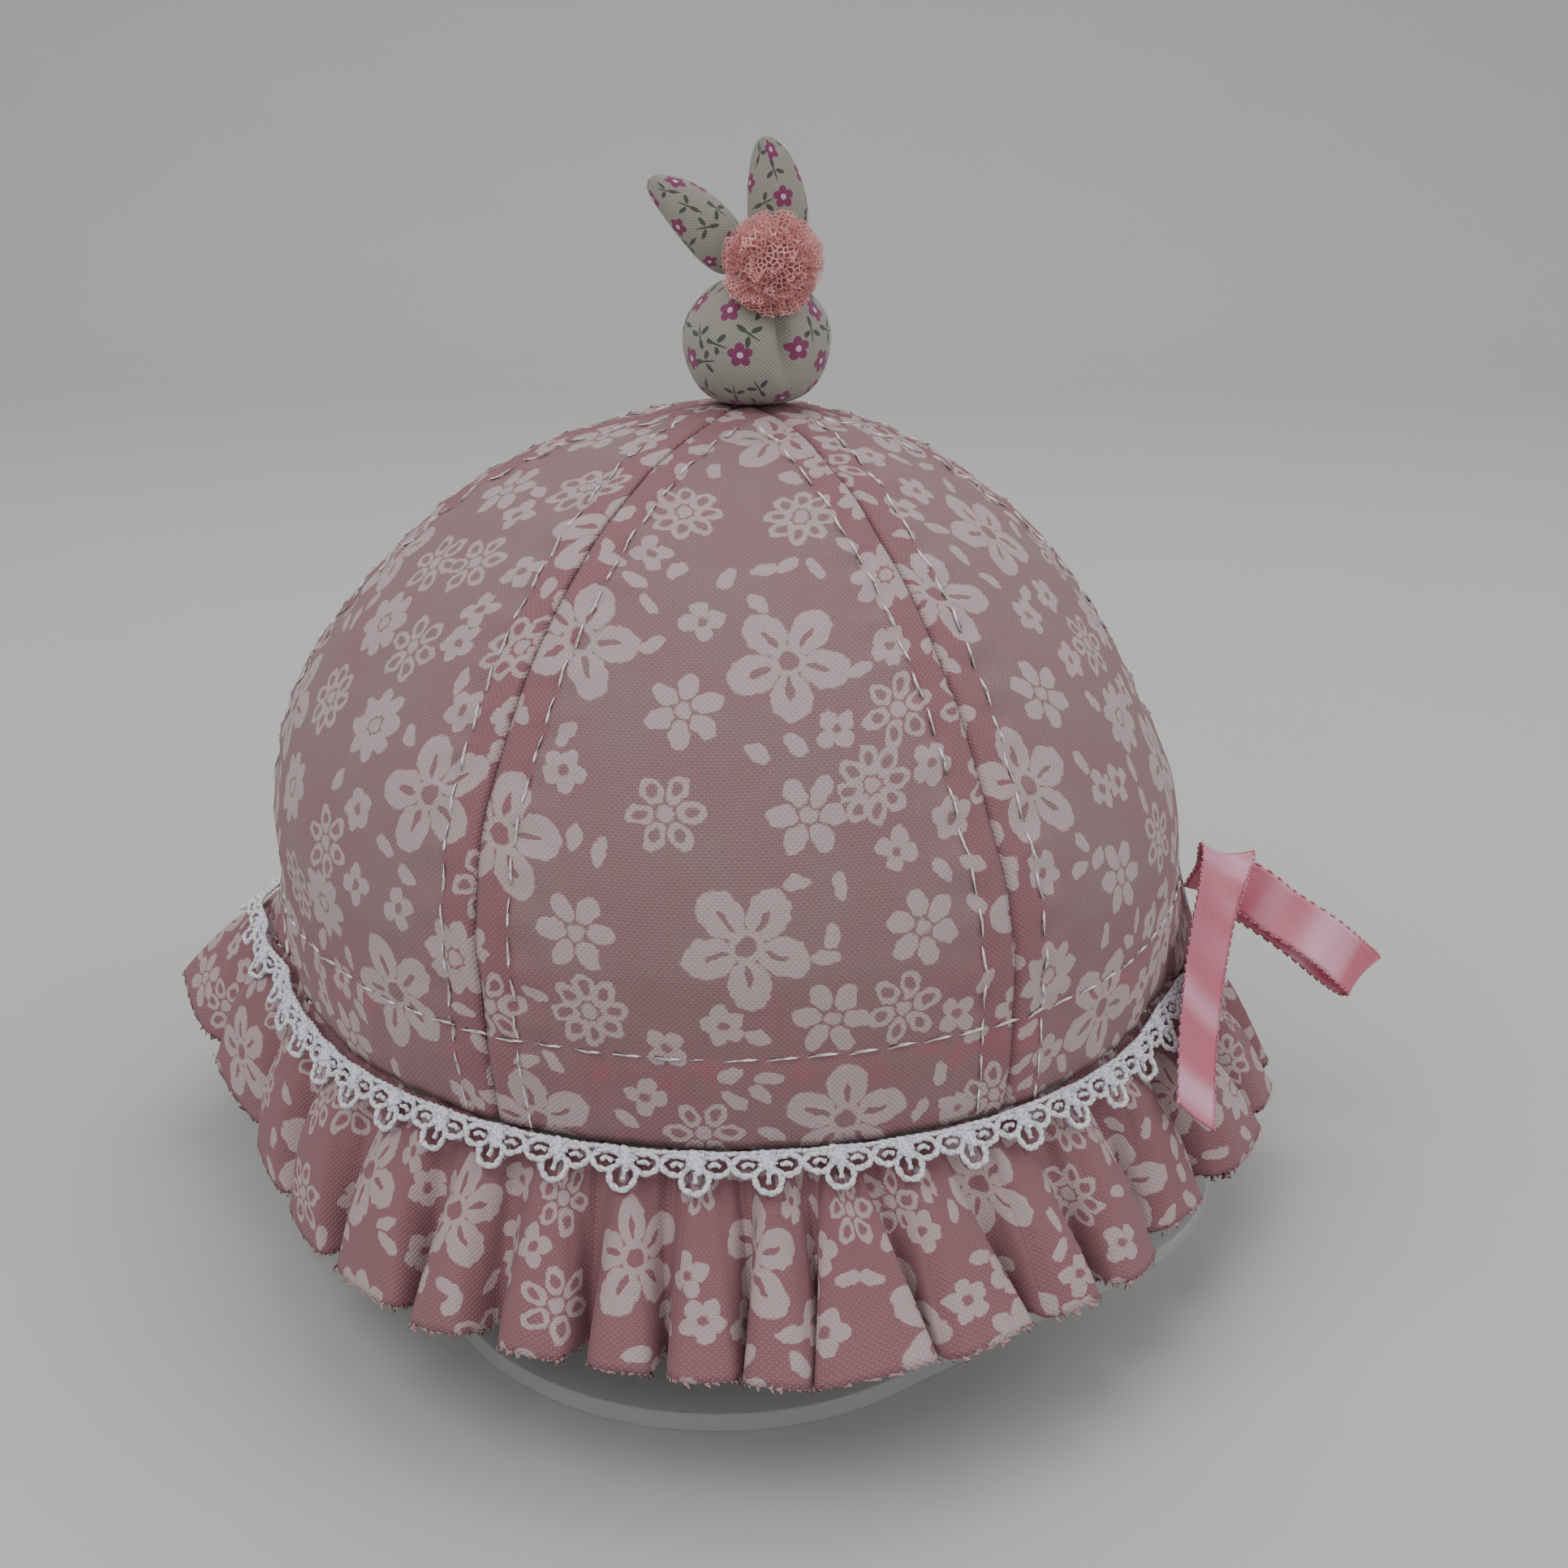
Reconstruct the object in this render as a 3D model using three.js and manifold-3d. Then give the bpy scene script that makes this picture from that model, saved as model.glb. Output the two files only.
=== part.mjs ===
// Baby sun bonnet on a clear stand, in millimetres, +Z up, the front facing -Y.
// An azimuth is measured in degrees from the front, positive towards +X. A height is measured
// from the crown's lower edge, and the finished group is moved so that the stand rests on z = 0.
import * as THREE from "three";
import { mergeVertices } from "three/addons/utils/BufferGeometryUtils.js";
import Module from "manifold-3d";

const wasm = await Module();
wasm.setup();

const GAP = 0.3;
const LINING_GAP = 0.45;
const CLOTH = 1.0;
const { degToRad, lerp, clamp } = THREE.MathUtils;

// Crown: a straight skirt that draws in a little at its edge, then a domed cap.
const CROWN = {
  panels: 6,
  radius: 73,
  edgeRadius: 70.85,
  skirtHeight: 25.8,
  height: 89.15,
  capRise: 1.57,
  capRound: 2.02,
  skirtShare: 0.2,
  seamTurn: 2.83,
  topHole: 3.0,
  columns: 6,
  rows: 14,
  lipHeight: 28,
};
const PANEL_NAMES = ["front", "front_right", "back_right", "back", "back_left", "front_left"];

// How far the crown leans to +X at each height.
const LEAN = [
  { height: 0, shift: 0.5 },
  { height: 20, shift: 0 },
  { height: 30, shift: -0.8 },
  { height: 45, shift: -1.6 },
  { height: 60, shift: -1.2 },
  { height: 75, shift: -0.3 },
  { height: 83, shift: 0.7 },
  { height: 89, shift: 2.6 },
];

// How far the crown's lower edge stands out and drops, where the elastic turns it outwards.
const LIP = [
  { azimuth: -180, flare: 7, drop: 1 },
  { azimuth: -130, flare: 9, drop: 1 },
  { azimuth: -100, flare: 11, drop: 0.5 },
  { azimuth: -91, flare: 6.5, drop: 0 },
  { azimuth: -78, flare: 1, drop: 0 },
  { azimuth: -60, flare: 0, drop: 0 },
  { azimuth: 66, flare: 0, drop: 0 },
  { azimuth: 75, flare: 1.5, drop: 0.5 },
  { azimuth: 82, flare: 4.5, drop: 1.5 },
  { azimuth: 91, flare: 9, drop: 3.5 },
  { azimuth: 102, flare: 10.5, drop: 4 },
  { azimuth: 140, flare: 9, drop: 2 },
  { azimuth: 180, flare: 7, drop: 1 },
];

const FACING = { height: 25, lowEdge: 2.5, rows: 3 };

// Ruffle: where its hem hangs, as the mean of its folds.
const RUFFLE_HEM = [
  { azimuth: -180, radius: 94, height: -22 },
  { azimuth: -130, radius: 97, height: -21 },
  { azimuth: -104, radius: 101.3, height: -20.2 },
  { azimuth: -92, radius: 88.5, height: -23.5 },
  { azimuth: -84, radius: 79.5, height: -26 },
  { azimuth: -72, radius: 77, height: -27 },
  { azimuth: -57, radius: 76.5, height: -27 },
  { azimuth: -44, radius: 80.5, height: -26 },
  { azimuth: -35, radius: 83.5, height: -24.5 },
  { azimuth: -27, radius: 85, height: -24 },
  { azimuth: -15, radius: 85.8, height: -23.3 },
  { azimuth: 0, radius: 87.2, height: -23.5 },
  { azimuth: 10, radius: 89.4, height: -24 },
  { azimuth: 18, radius: 87.2, height: -23.5 },
  { azimuth: 29, radius: 84.2, height: -24 },
  { azimuth: 38, radius: 84.5, height: -24 },
  { azimuth: 53, radius: 79, height: -26 },
  { azimuth: 73, radius: 85.7, height: -24 },
  { azimuth: 91, radius: 90, height: -26 },
  { azimuth: 130, radius: 95, height: -24 },
  { azimuth: 180, radius: 94, height: -22 },
];

// The folds at the hem: each crest runs from one azimuth to another, and the valley after it may
// lie under a crest, where the cloth is folded back.
const RUFFLE_FOLDS = [
  { from: -104, to: -94, valley: -92 },
  { from: -90, to: -77, valley: -75.5 },
  { from: -74, to: -61.5, valley: -60 },
  { from: -58.5, to: -47, valley: -45.5 },
  { from: -44, to: -32.8, valley: -31.6 },
  { from: -30.5, to: -25, valley: -23 },
  { from: -21, to: -15, valley: -13.6 },
  { from: -12.2, to: -7.2, valley: -6.2 },
  { from: -5.2, to: 0, valley: 2 },
  { from: 1, to: 6, valley: 8.5 },
  { from: 7, to: 17.5, valley: 15.8 },
  { from: 19, to: 28, valley: 26.6 },
  { from: 30, to: 36, valley: 37.5 },
  { from: 39, to: 47, valley: 49 },
  { from: 51, to: 60, valley: 62 },
  { from: 64, to: 74, valley: 76 },
  { from: 78, to: 86, valley: 88 },
];
const RUFFLE = {
  backFolds: 14,
  backStart: 0.2,
  backEnd: 0.78,
  backValley: 0.97,
  backSway: 0.08,
  swayTurn: 2.3,
  valleyShare: 0.45,
  curveTension: 0.35,
  crest: 2.3,
  valley: 2.6,
  gatherWave: 0.35,
  bulge: 1.5,
  topDrop: 0.75,
  samplesPerFold: 4,
  rows: 4,
};

// Lace: one motif, centred on 0, repeated round the edge. y runs down from the lace's upper edge.
const LACE = { motifs: 48, pitch: 9.4, top: 0.6, depth: 5.7, stand: 1.95, standGrowth: 0.1 };
const LACE_MOTIF = {
  outline: [
    { x: -4.7, y: 0 },
    { x: -4.7, y: 1.2 },
    { x: -3.3, y: 2.9 },
    { x: -1.9, y: 3.1 },
    { x: 0, y: 5.7 },
    { x: 1.9, y: 3.1 },
    { x: 3.3, y: 2.9 },
    { x: 4.7, y: 1.2 },
    { x: 4.7, y: 0 },
  ],
  gapCentre: 2.6,
  gapHeight: 1.6,
  gapHalfWidth: 0.9,
  gapHalfDepth: 0.65,
};

// Ribbon: its centre line, and the direction of its width from the lower or inner edge to the other.
const RIBBON = { width: 9.5, thickness: 0.8, tailSteps: 22, loopSteps: 30 };
const RIBBON_TAIL = [
  { x: 81.72, y: 4.8, z: 5.2, wx: 0.93, wy: 0.3, wz: -0.2 },
  { x: 83.8, y: 3.8, z: 10.5, wx: 0.93, wy: 0.3, wz: -0.2 },
  { x: 83.6, y: 0.6, z: 14.0, wx: 0.93, wy: 0.3, wz: -0.22 },
  { x: 81.9, y: -3.6, z: 12.6, wx: 0.9, wy: 0.38, wz: -0.2 },
  { x: 79.6, y: -7.4, z: 9.4, wx: 0.82, wy: 0.55, wz: -0.15 },
  { x: 75.9, y: -15, z: 5.4, wx: 0.66, wy: 0.75, wz: -0.05 },
  { x: 72.5, y: -24, z: 1.6, wx: 0.62, wy: 0.78, wz: -0.05 },
  { x: 69.5, y: -34.5, z: -0.4, wx: 0.62, wy: 0.78, wz: -0.08 },
  { x: 66.4, y: -44, z: -3.6, wx: 0.6, wy: 0.76, wz: -0.2 },
  { x: 64, y: -51, z: -8, wx: 0.58, wy: 0.72, wz: -0.35 },
];
const RIBBON_LOOP = [
  { x: 82.8, y: 7.2, z: 5.2, wx: 0.45, wy: 0.3, wz: 0.84 },
  { x: 89.5, y: 8.4, z: 4.2, wx: 0.52, wy: 0.35, wz: 0.78 },
  { x: 95.4, y: 5.6, z: 0.8, wx: 0.68, wy: 0.48, wz: 0.56 },
  { x: 102.6, y: 3.6, z: -3.6, wx: 0.73, wy: 0.48, wz: 0.48 },
  { x: 107.4, y: 3.2, z: -7.6, wx: 0.71, wy: 0.49, wz: 0.5 },
  { x: 110.1, y: 4, z: -10.4, wx: 0.71, wy: 0.5, wz: 0.5 },
  { x: 109.2, y: 6.2, z: -11.4, wx: 0.71, wy: 0.5, wz: 0.5 },
  { x: 105.4, y: 7.2, z: -9, wx: 0.71, wy: 0.5, wz: 0.5 },
  { x: 99.6, y: 8, z: -4.4, wx: 0.71, wy: 0.5, wz: 0.5 },
  { x: 92.6, y: 10.6, z: 0.2, wx: 0.6, wy: 0.42, wz: 0.68 },
  { x: 87.4, y: 13.4, z: 2.6, wx: 0.5, wy: 0.3, wz: 0.82 },
];

// Stuffed rabbit on the top of the crown.
const HEAD = {
  x: 4.4,
  y: 0,
  halfWidth: 11.4,
  halfDepth: 10.8,
  halfHeight: 9.8,
  sides: 16,
  rings: 10,
  lowRound: 0.6,
};
const HEAD_CREASE = { azimuth: 24, halfAngle: 16, depth: 1.1 };
const EARS = [
  {
    name: "rabbit_ear_left",
    halfWidth: 3.7,
    halfDepth: 2.3,
    spine: [
      { x: 1.0, y: 1.6, z: 20.0 },
      { x: -1.6, y: 1.6, z: 24.6 },
      { x: -6.4, y: 1.2, z: 29.6 },
      { x: -12.0, y: 0.6, z: 33.6 },
    ],
    wide: { x: 0.72, y: 0.1, z: 0.69 },
  },
  {
    name: "rabbit_ear_right",
    halfWidth: 4.6,
    halfDepth: 2.4,
    spine: [
      { x: 6.6, y: 1.8, z: 20.0 },
      { x: 7.6, y: 2.0, z: 26.4 },
      { x: 6.9, y: 2.0, z: 33.4 },
      { x: 5.3, y: 1.6, z: 39.8 },
    ],
    wide: { x: 0.97, y: 0.1, z: 0.2 },
  },
];
const EAR_MESH = { sides: 8, rings: 8, bluntness: 0.48 };
const POMPOM = {
  x: 6.5,
  y: -8.8,
  height: 22.0,
  headRadius: 6.3,
  lockReach: 7.8,
  lockWidth: 3.4,
  lockThickness: 1.0,
  lockTwist: 1.7,
  locks: 26,
};

// Clear stand: only its foot shows under the ruffle.
const STAND = {
  tableDrop: 45,
  x: 11.3,
  y: -2.3,
  halfWidth: 58,
  halfLength: 70,
  corner: 45,
  turn: -54.5,
  thickness: 3,
  postRadius: 5,
  postTop: 87.2,
  domeLow: 62,
  domeWall: 2,
  domeRows: 3,
};

const COLOURS = {
  print: { color: 0xc48a8c, roughness: 0.9, metalness: 0 },
  facing: { color: 0xb87778, roughness: 0.9, metalness: 0 },
  lace: { color: 0xe9e6ea, roughness: 0.7, metalness: 0 },
  satin: { color: 0xf08a9b, roughness: 0.35, metalness: 0 },
  cream: { color: 0xcfc7b4, roughness: 0.9, metalness: 0 },
  net: { color: 0xf19c98, roughness: 0.8, metalness: 0 },
  clear: { color: 0xdfe3e0, roughness: 0.08, metalness: 0 },
};

// A column of a table between its rows, with a smooth step from row to row.
function readTable(table, key, column, at) {
  const last = table.length - 1;
  if (at <= table[0][key]) return table[0][column];
  if (at >= table[last][key]) return table[last][column];
  const high = table.findIndex((row) => row[key] > at);
  const from = table[high - 1];
  const to = table[high];
  const share = (at - from[key]) / (to[key] - from[key]);
  return lerp(from[column], to[column], share * share * (3 - 2 * share));
}

// A direction across the ground at an azimuth.
function outward(azimuth) {
  const angle = degToRad(azimuth);
  return new THREE.Vector3(Math.sin(angle), -Math.cos(angle), 0);
}

function wrapAzimuth(azimuth) {
  return THREE.MathUtils.euclideanModulo(azimuth + 180, 360) - 180;
}

// Radius and height of the crown's outer face, from its edge (share 0) to its top (share 1).
function crownProfile(share) {
  const { skirtShare, skirtHeight, radius, edgeRadius, height, capRise, capRound } = CROWN;
  if (share < skirtShare) {
    const rise = share / skirtShare;
    return { radius: lerp(edgeRadius, radius, 1 - (1 - rise) ** 2), height: skirtHeight * rise };
  }
  const angle = ((share - skirtShare) / (1 - skirtShare)) * (Math.PI / 2);
  return {
    radius: radius * Math.max(Math.cos(angle), 0) ** (2 / capRound),
    height: skirtHeight + (height - skirtHeight) * Math.sin(angle) ** (2 / capRise),
  };
}

// The share of the profile at a given height or radius, found by halving.
function shareWhere(test) {
  let low = 0;
  let high = 1;
  for (let step = 0; step < 40; step += 1) {
    const middle = (low + high) / 2;
    if (test(crownProfile(middle))) high = middle;
    else low = middle;
  }
  return high;
}

function crownPoint(azimuth, share) {
  const profile = crownProfile(share);
  const around = wrapAzimuth(azimuth);
  const fade = clamp(1 - profile.height / CROWN.lipHeight, 0, 1) ** 2;
  const radius = profile.radius + readTable(LIP, "azimuth", "flare", around) * fade;
  const height = profile.height - readTable(LIP, "azimuth", "drop", around) * fade;
  const point = outward(azimuth).multiplyScalar(radius);
  point.z = height;
  point.x += readTable(LEAN, "height", "shift", profile.height);
  return point;
}

// The crown's outer edge at an azimuth, with the direction in which its cloth runs down.
function crownEdge(azimuth) {
  const point = crownPoint(azimuth, 0);
  const above = crownPoint(azimuth, 0.01);
  return { point, down: point.clone().sub(above).normalize() };
}

// A flat sheet of unit size as points and triangles. A closed sheet joins its last column to its first.
function gridSheet(columns, rows, closed) {
  const across = closed ? columns : columns + 1;
  const points = [];
  const triangles = [];
  for (let row = 0; row <= rows; row += 1) {
    for (let column = 0; column < across; column += 1) points.push([column / columns, row / rows]);
  }
  for (let row = 0; row < rows; row += 1) {
    for (let column = 0; column < columns; column += 1) {
      const next = (column + 1) % across;
      const low = row * across;
      const high = low + across;
      triangles.push([low + column, low + next, high + next]);
      triangles.push([low + column, high + next, high + column]);
    }
  }
  return { points, triangles };
}

// A closed wall between two offsets from a surface, place(u, v), with its rim closed.
function wall(sheet, place, inner, outer) {
  const step = 1e-3;
  const front = [];
  const back = [];
  for (const [u, v] of sheet.points) {
    const centre = place(u, v);
    const along = place(u + step, v).sub(place(u - step, v));
    const up = place(u, Math.min(v + step, 1)).sub(place(u, Math.max(v - step, 0)));
    const normal = along.cross(up).normalize();
    front.push(centre.clone().addScaledVector(normal, outer));
    back.push(centre.clone().addScaledVector(normal, inner));
  }
  const count = front.length;
  const indices = [];
  const rim = new Map();
  for (const [a, b, c] of sheet.triangles) {
    indices.push(a, b, c, count + a, count + c, count + b);
    for (const [from, to] of [[a, b], [b, c], [c, a]]) {
      if (!rim.delete(`${to},${from}`)) rim.set(`${from},${to}`, [from, to]);
    }
  }
  for (const [from, to] of rim.values()) {
    indices.push(to, from, count + from, to, count + from, count + to);
  }
  return meshGeometry([...front, ...back], indices);
}

function meshGeometry(points, indices) {
  const geometry = new THREE.BufferGeometry().setFromPoints(points);
  geometry.setIndex(indices);
  geometry.computeVertexNormals();
  return geometry;
}

function piece(name, geometry, finish) {
  const mesh = new THREE.Mesh(geometry, new THREE.MeshStandardMaterial(COLOURS[finish]));
  mesh.name = name;
  return mesh;
}

// Crown: gores cut apart at the seams, each ending at the small hole under the rabbit.
function crownPanels() {
  const topShare = shareWhere((profile) => profile.radius < CROWN.topHole);
  const width = 360 / CROWN.panels;
  return PANEL_NAMES.map((name, index) => {
    const start = CROWN.seamTurn + (index - 0.5) * width;
    const place = (u, v) => {
      const share = v * topShare;
      const seamGap = THREE.MathUtils.radToDeg(GAP / 2 / crownProfile(share).radius);
      return crownPoint(lerp(start + seamGap, start + width - seamGap, u), share);
    };
    const sheet = gridSheet(CROWN.columns, CROWN.rows, false);
    return piece(`crown_panel_${name}`, wall(sheet, place, -CLOTH, 0), "print");
  });
}

// A ring inside the crown between two shares of its profile, its columns in line with the panels'.
function liningRing(low, high, rows, outer, thickness) {
  const start = CROWN.seamTurn + 180 / CROWN.panels;
  const place = (u, v) => crownPoint(start + 360 * u, lerp(low, high, v));
  const sheet = gridSheet(CROWN.panels * CROWN.columns, rows, true);
  return wall(sheet, place, outer - thickness, outer);
}

// The strip inside the crown's edge.
function hemFacing() {
  const low = shareWhere((profile) => profile.height > FACING.lowEdge);
  const high = shareWhere((profile) => profile.height > FACING.height);
  const outer = -CLOTH - LINING_GAP;
  return piece("hem_facing", liningRing(low, high, FACING.rows, outer, CLOTH), "facing");
}

// All folds of the ruffle in order of azimuth: those of the table, then the even ones at the back.
function ruffleFolds() {
  const folds = RUFFLE_FOLDS.map((fold) => ({ ...fold }));
  const start = folds[folds.length - 1].valley;
  const end = folds[0].from + 360 - 2;
  const { backFolds, backStart, backEnd, backValley, backSway, swayTurn } = RUFFLE;
  const pitch = (end - start) / backFolds;
  for (let index = 0; index < backFolds; index += 1) {
    const sway = backSway * Math.sin(swayTurn * index);
    const from = start + pitch * (index + backStart + sway);
    const to = start + pitch * (index + backEnd + sway);
    folds.push({ from, to, valley: start + pitch * (index + backValley) });
  }
  return folds;
}

// The ruffle's two edges as rows of points, four to a fold: the crest's ends and the valley's.
function ruffleEdges() {
  const folds = ruffleFolds();
  const count = folds.length;
  const hem = [];
  const top = [];
  folds.forEach((fold, index) => {
    const next = folds[(index + 1) % count];
    const nextFrom = index + 1 === count ? next.from + 360 : next.from;
    const before = folds[(index + count - 1) % count];
    const startTop = index === 0 ? before.valley - 360 : before.valley;
    const valleyEnd = lerp(fold.valley, Math.max(nextFrom, fold.valley), RUFFLE.valleyShare);
    const corners = [
      { azimuth: fold.from, out: RUFFLE.crest, side: 1 },
      { azimuth: fold.to, out: RUFFLE.crest, side: 1 },
      { azimuth: fold.valley, out: -RUFFLE.valley, side: -1 },
      { azimuth: valleyEnd, out: -RUFFLE.valley, side: -1 },
    ];
    corners.forEach((corner, place) => {
      const around = wrapAzimuth(corner.azimuth);
      const radius = readTable(RUFFLE_HEM, "azimuth", "radius", around) + corner.out;
      const point = outward(corner.azimuth).multiplyScalar(radius);
      point.x += readTable(LEAN, "height", "shift", 0);
      point.z = readTable(RUFFLE_HEM, "azimuth", "height", around);
      hem.push(point);
      const topAzimuth = lerp(startTop, fold.valley, (place + 1) / corners.length);
      top.push(ruffleTop(topAzimuth, corner.side * RUFFLE.gatherWave));
    });
  });
  return { hem, top, folds: count };
}

// The gathered edge, just under the crown's own.
function ruffleTop(azimuth, wave) {
  const { point, down } = crownEdge(azimuth);
  return point
    .addScaledVector(down, RUFFLE.topDrop)
    .addScaledVector(outward(azimuth), wave - CLOTH / 2);
}

function hemMean(azimuth) {
  const around = wrapAzimuth(azimuth);
  const point = outward(azimuth).multiplyScalar(readTable(RUFFLE_HEM, "azimuth", "radius", around));
  point.x += readTable(LEAN, "height", "shift", 0);
  point.z = readTable(RUFFLE_HEM, "azimuth", "height", around);
  return point;
}

// The way the ruffle hangs at an azimuth, and the direction off its outer face.
function ruffleHang(azimuth) {
  const top = ruffleTop(azimuth, 0);
  const run = hemMean(azimuth).sub(top);
  const length = run.length();
  const down = run.normalize();
  const across = new THREE.Vector3(0, 0, 1).cross(outward(azimuth));
  return { top, down, length, off: down.clone().negate().cross(across).negate() };
}

function ruffle() {
  const edges = ruffleEdges();
  const hem = new THREE.CatmullRomCurve3(edges.hem, true, "catmullrom", RUFFLE.curveTension);
  const top = new THREE.CatmullRomCurve3(edges.top, true, "catmullrom", RUFFLE.curveTension);
  const place = (u, v) => {
    const around = THREE.MathUtils.euclideanModulo(u, 1);
    const high = top.getPoint(around);
    const low = hem.getPoint(around);
    const point = high.clone().lerp(low, 1 - v);
    const azimuth = THREE.MathUtils.radToDeg(Math.atan2(point.x, -point.y));
    return point.addScaledVector(ruffleHang(azimuth).off, RUFFLE.bulge * Math.sin(Math.PI * v));
  };
  const sheet = gridSheet(edges.folds * RUFFLE.samplesPerFold, RUFFLE.rows, true);
  return piece("ruffle", wall(sheet, place, -CLOTH / 2, CLOTH / 2), "print");
}

// Lace: the motif with its two gaps, triangulated once and joined into a ring.
function laceSheet() {
  const ring = (points) => points.map(({ x, y }) => new THREE.Vector2(x, -y));
  const { outline, gapCentre, gapHeight, gapHalfWidth, gapHalfDepth } = LACE_MOTIF;
  const gaps = [-gapCentre, gapCentre].map((x) =>
    ring([
      { x: x - gapHalfWidth, y: gapHeight },
      { x, y: gapHeight - gapHalfDepth },
      { x: x + gapHalfWidth, y: gapHeight },
      { x, y: gapHeight + gapHalfDepth },
    ]),
  );
  const contour = ring(outline);
  const faces = THREE.ShapeUtils.triangulateShape(contour, gaps);
  const motif = [...contour, ...gaps.flat()];
  const points = [];
  const known = new Map();
  const triangles = [];
  for (let index = 0; index < LACE.motifs; index += 1) {
    const numbers = motif.map(({ x, y }) => {
      const share = (index + 0.5 + x / LACE.pitch) / LACE.motifs;
      const u = THREE.MathUtils.euclideanModulo(share, 1);
      const key = `${Math.round(u * 1e6) % 1e6},${y}`;
      if (!known.has(key)) known.set(key, points.push([u, 1 + y / LACE.depth]) - 1);
      return known.get(key);
    });
    for (const face of faces) triangles.push(face.map((corner) => numbers[corner]));
  }
  return { points, triangles };
}

function laceTrim() {
  const place = (u, v) => {
    const azimuth = 360 * u;
    const hang = ruffleHang(azimuth);
    const fall = LACE.top + (1 - v) * LACE.depth;
    const rise = RUFFLE.bulge * Math.sin((Math.PI * fall) / hang.length);
    const stand = LACE.stand + LACE.standGrowth * fall + rise;
    return hang.top.addScaledVector(hang.down, fall).addScaledVector(hang.off, stand);
  };
  return piece("lace_trim", wall(laceSheet(), place, -CLOTH / 2, CLOTH / 2), "lace");
}

// A ribbon laid along a table of centre points and width directions.
function ribbon(name, table, steps) {
  const line = new THREE.CatmullRomCurve3(table.map(({ x, y, z }) => new THREE.Vector3(x, y, z)));
  const cross = new THREE.CatmullRomCurve3(table.map(({ wx, wy, wz }) => new THREE.Vector3(wx, wy, wz)));
  const place = (u, v) => {
    const along = clamp(v, 0, 1);
    const width = cross.getPoint(along).normalize();
    return line.getPoint(along).addScaledVector(width, (u - 0.5) * RIBBON.width);
  };
  const half = RIBBON.thickness / 2;
  return piece(name, wall(gridSheet(1, steps, false), place, -half, half), "satin");
}

// A stuffed shape: rings of points between two poles, given by ring(t) for t from 0 to 1.
function stuffed(sides, rings, pointAt) {
  const points = [pointAt(0, 0)];
  for (let ring = 1; ring < rings; ring += 1) {
    for (let side = 0; side < sides; side += 1) points.push(pointAt(ring / rings, side / sides));
  }
  points.push(pointAt(1, 0));
  const indices = [];
  const number = (ring, side) => 1 + (ring - 1) * sides + (side % sides);
  for (let side = 0; side < sides; side += 1) {
    indices.push(0, number(1, side + 1), number(1, side));
    indices.push(points.length - 1, number(rings - 1, side), number(rings - 1, side + 1));
    for (let ring = 1; ring < rings - 1; ring += 1) {
      const corners = [number(ring, side), number(ring, side + 1)];
      const above = [number(ring + 1, side), number(ring + 1, side + 1)];
      indices.push(corners[0], corners[1], above[1], corners[0], above[1], above[0]);
    }
  }
  return meshGeometry(points, indices);
}

const headHeight = CROWN.height + GAP + HEAD.halfHeight;

// The head: a ball flattened where it sits, with the fold of its cloth drawn in at the front.
function headGeometry(grow) {
  return stuffed(HEAD.sides, HEAD.rings, (t, turn) => {
    const rise = (t - 0.5) * Math.PI;
    const azimuth = turn * 360 - 180;
    const aside = Math.abs(azimuth - HEAD_CREASE.azimuth) / HEAD_CREASE.halfAngle;
    const crease = HEAD_CREASE.depth * Math.max(0, 1 - aside) * Math.cos(rise) ** 2;
    const round = rise < 0 ? HEAD.lowRound : 1;
    const point = outward(azimuth).multiplyScalar(Math.max(Math.cos(rise), 0) ** round);
    point.x *= HEAD.halfWidth + grow - crease;
    point.y *= HEAD.halfDepth + grow - crease;
    point.z = Math.sin(rise) * (HEAD.halfHeight + grow);
    return point.add(new THREE.Vector3(HEAD.x, HEAD.y, headHeight));
  });
}

function earGeometry(ear, grow) {
  const base = new THREE.Vector3(0, 0, CROWN.height);
  const spine = new THREE.CatmullRomCurve3(
    ear.spine.map(({ x, y, z }) => new THREE.Vector3(x, y, z).add(base)),
  );
  const wide = new THREE.Vector3(ear.wide.x, ear.wide.y, ear.wide.z).normalize();
  return stuffed(EAR_MESH.sides, EAR_MESH.rings, (t, turn) => {
    const tangent = spine.getTangent(t);
    const side = wide.clone().addScaledVector(tangent, -wide.dot(tangent)).normalize();
    const deep = tangent.clone().cross(side);
    const swell = Math.sin(Math.PI * t ** 0.8) ** EAR_MESH.bluntness;
    const angle = turn * 2 * Math.PI;
    return spine
      .getPoint(t)
      .addScaledVector(side, Math.cos(angle) * swell * (ear.halfWidth + grow))
      .addScaledVector(deep, Math.sin(angle) * swell * (ear.halfDepth + grow));
  });
}

// manifold-3d's solid of a closed geometry, and back.
function toSolid(geometry) {
  const bare = geometry.clone();
  bare.deleteAttribute("normal");
  bare.deleteAttribute("uv");
  const merged = mergeVertices(bare, 1e-4);
  return new wasm.Manifold(
    new wasm.Mesh({
      numProp: 3,
      vertProperties: new Float32Array(merged.attributes.position.array),
      triVerts: new Uint32Array(merged.index.array),
    }),
  );
}

function fromSolid(solid) {
  const mesh = solid.getMesh();
  const geometry = new THREE.BufferGeometry();
  geometry.setAttribute("position", new THREE.BufferAttribute(mesh.vertProperties, 3));
  geometry.setIndex(new THREE.BufferAttribute(mesh.triVerts, 1));
  geometry.computeVertexNormals();
  return geometry;
}

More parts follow.
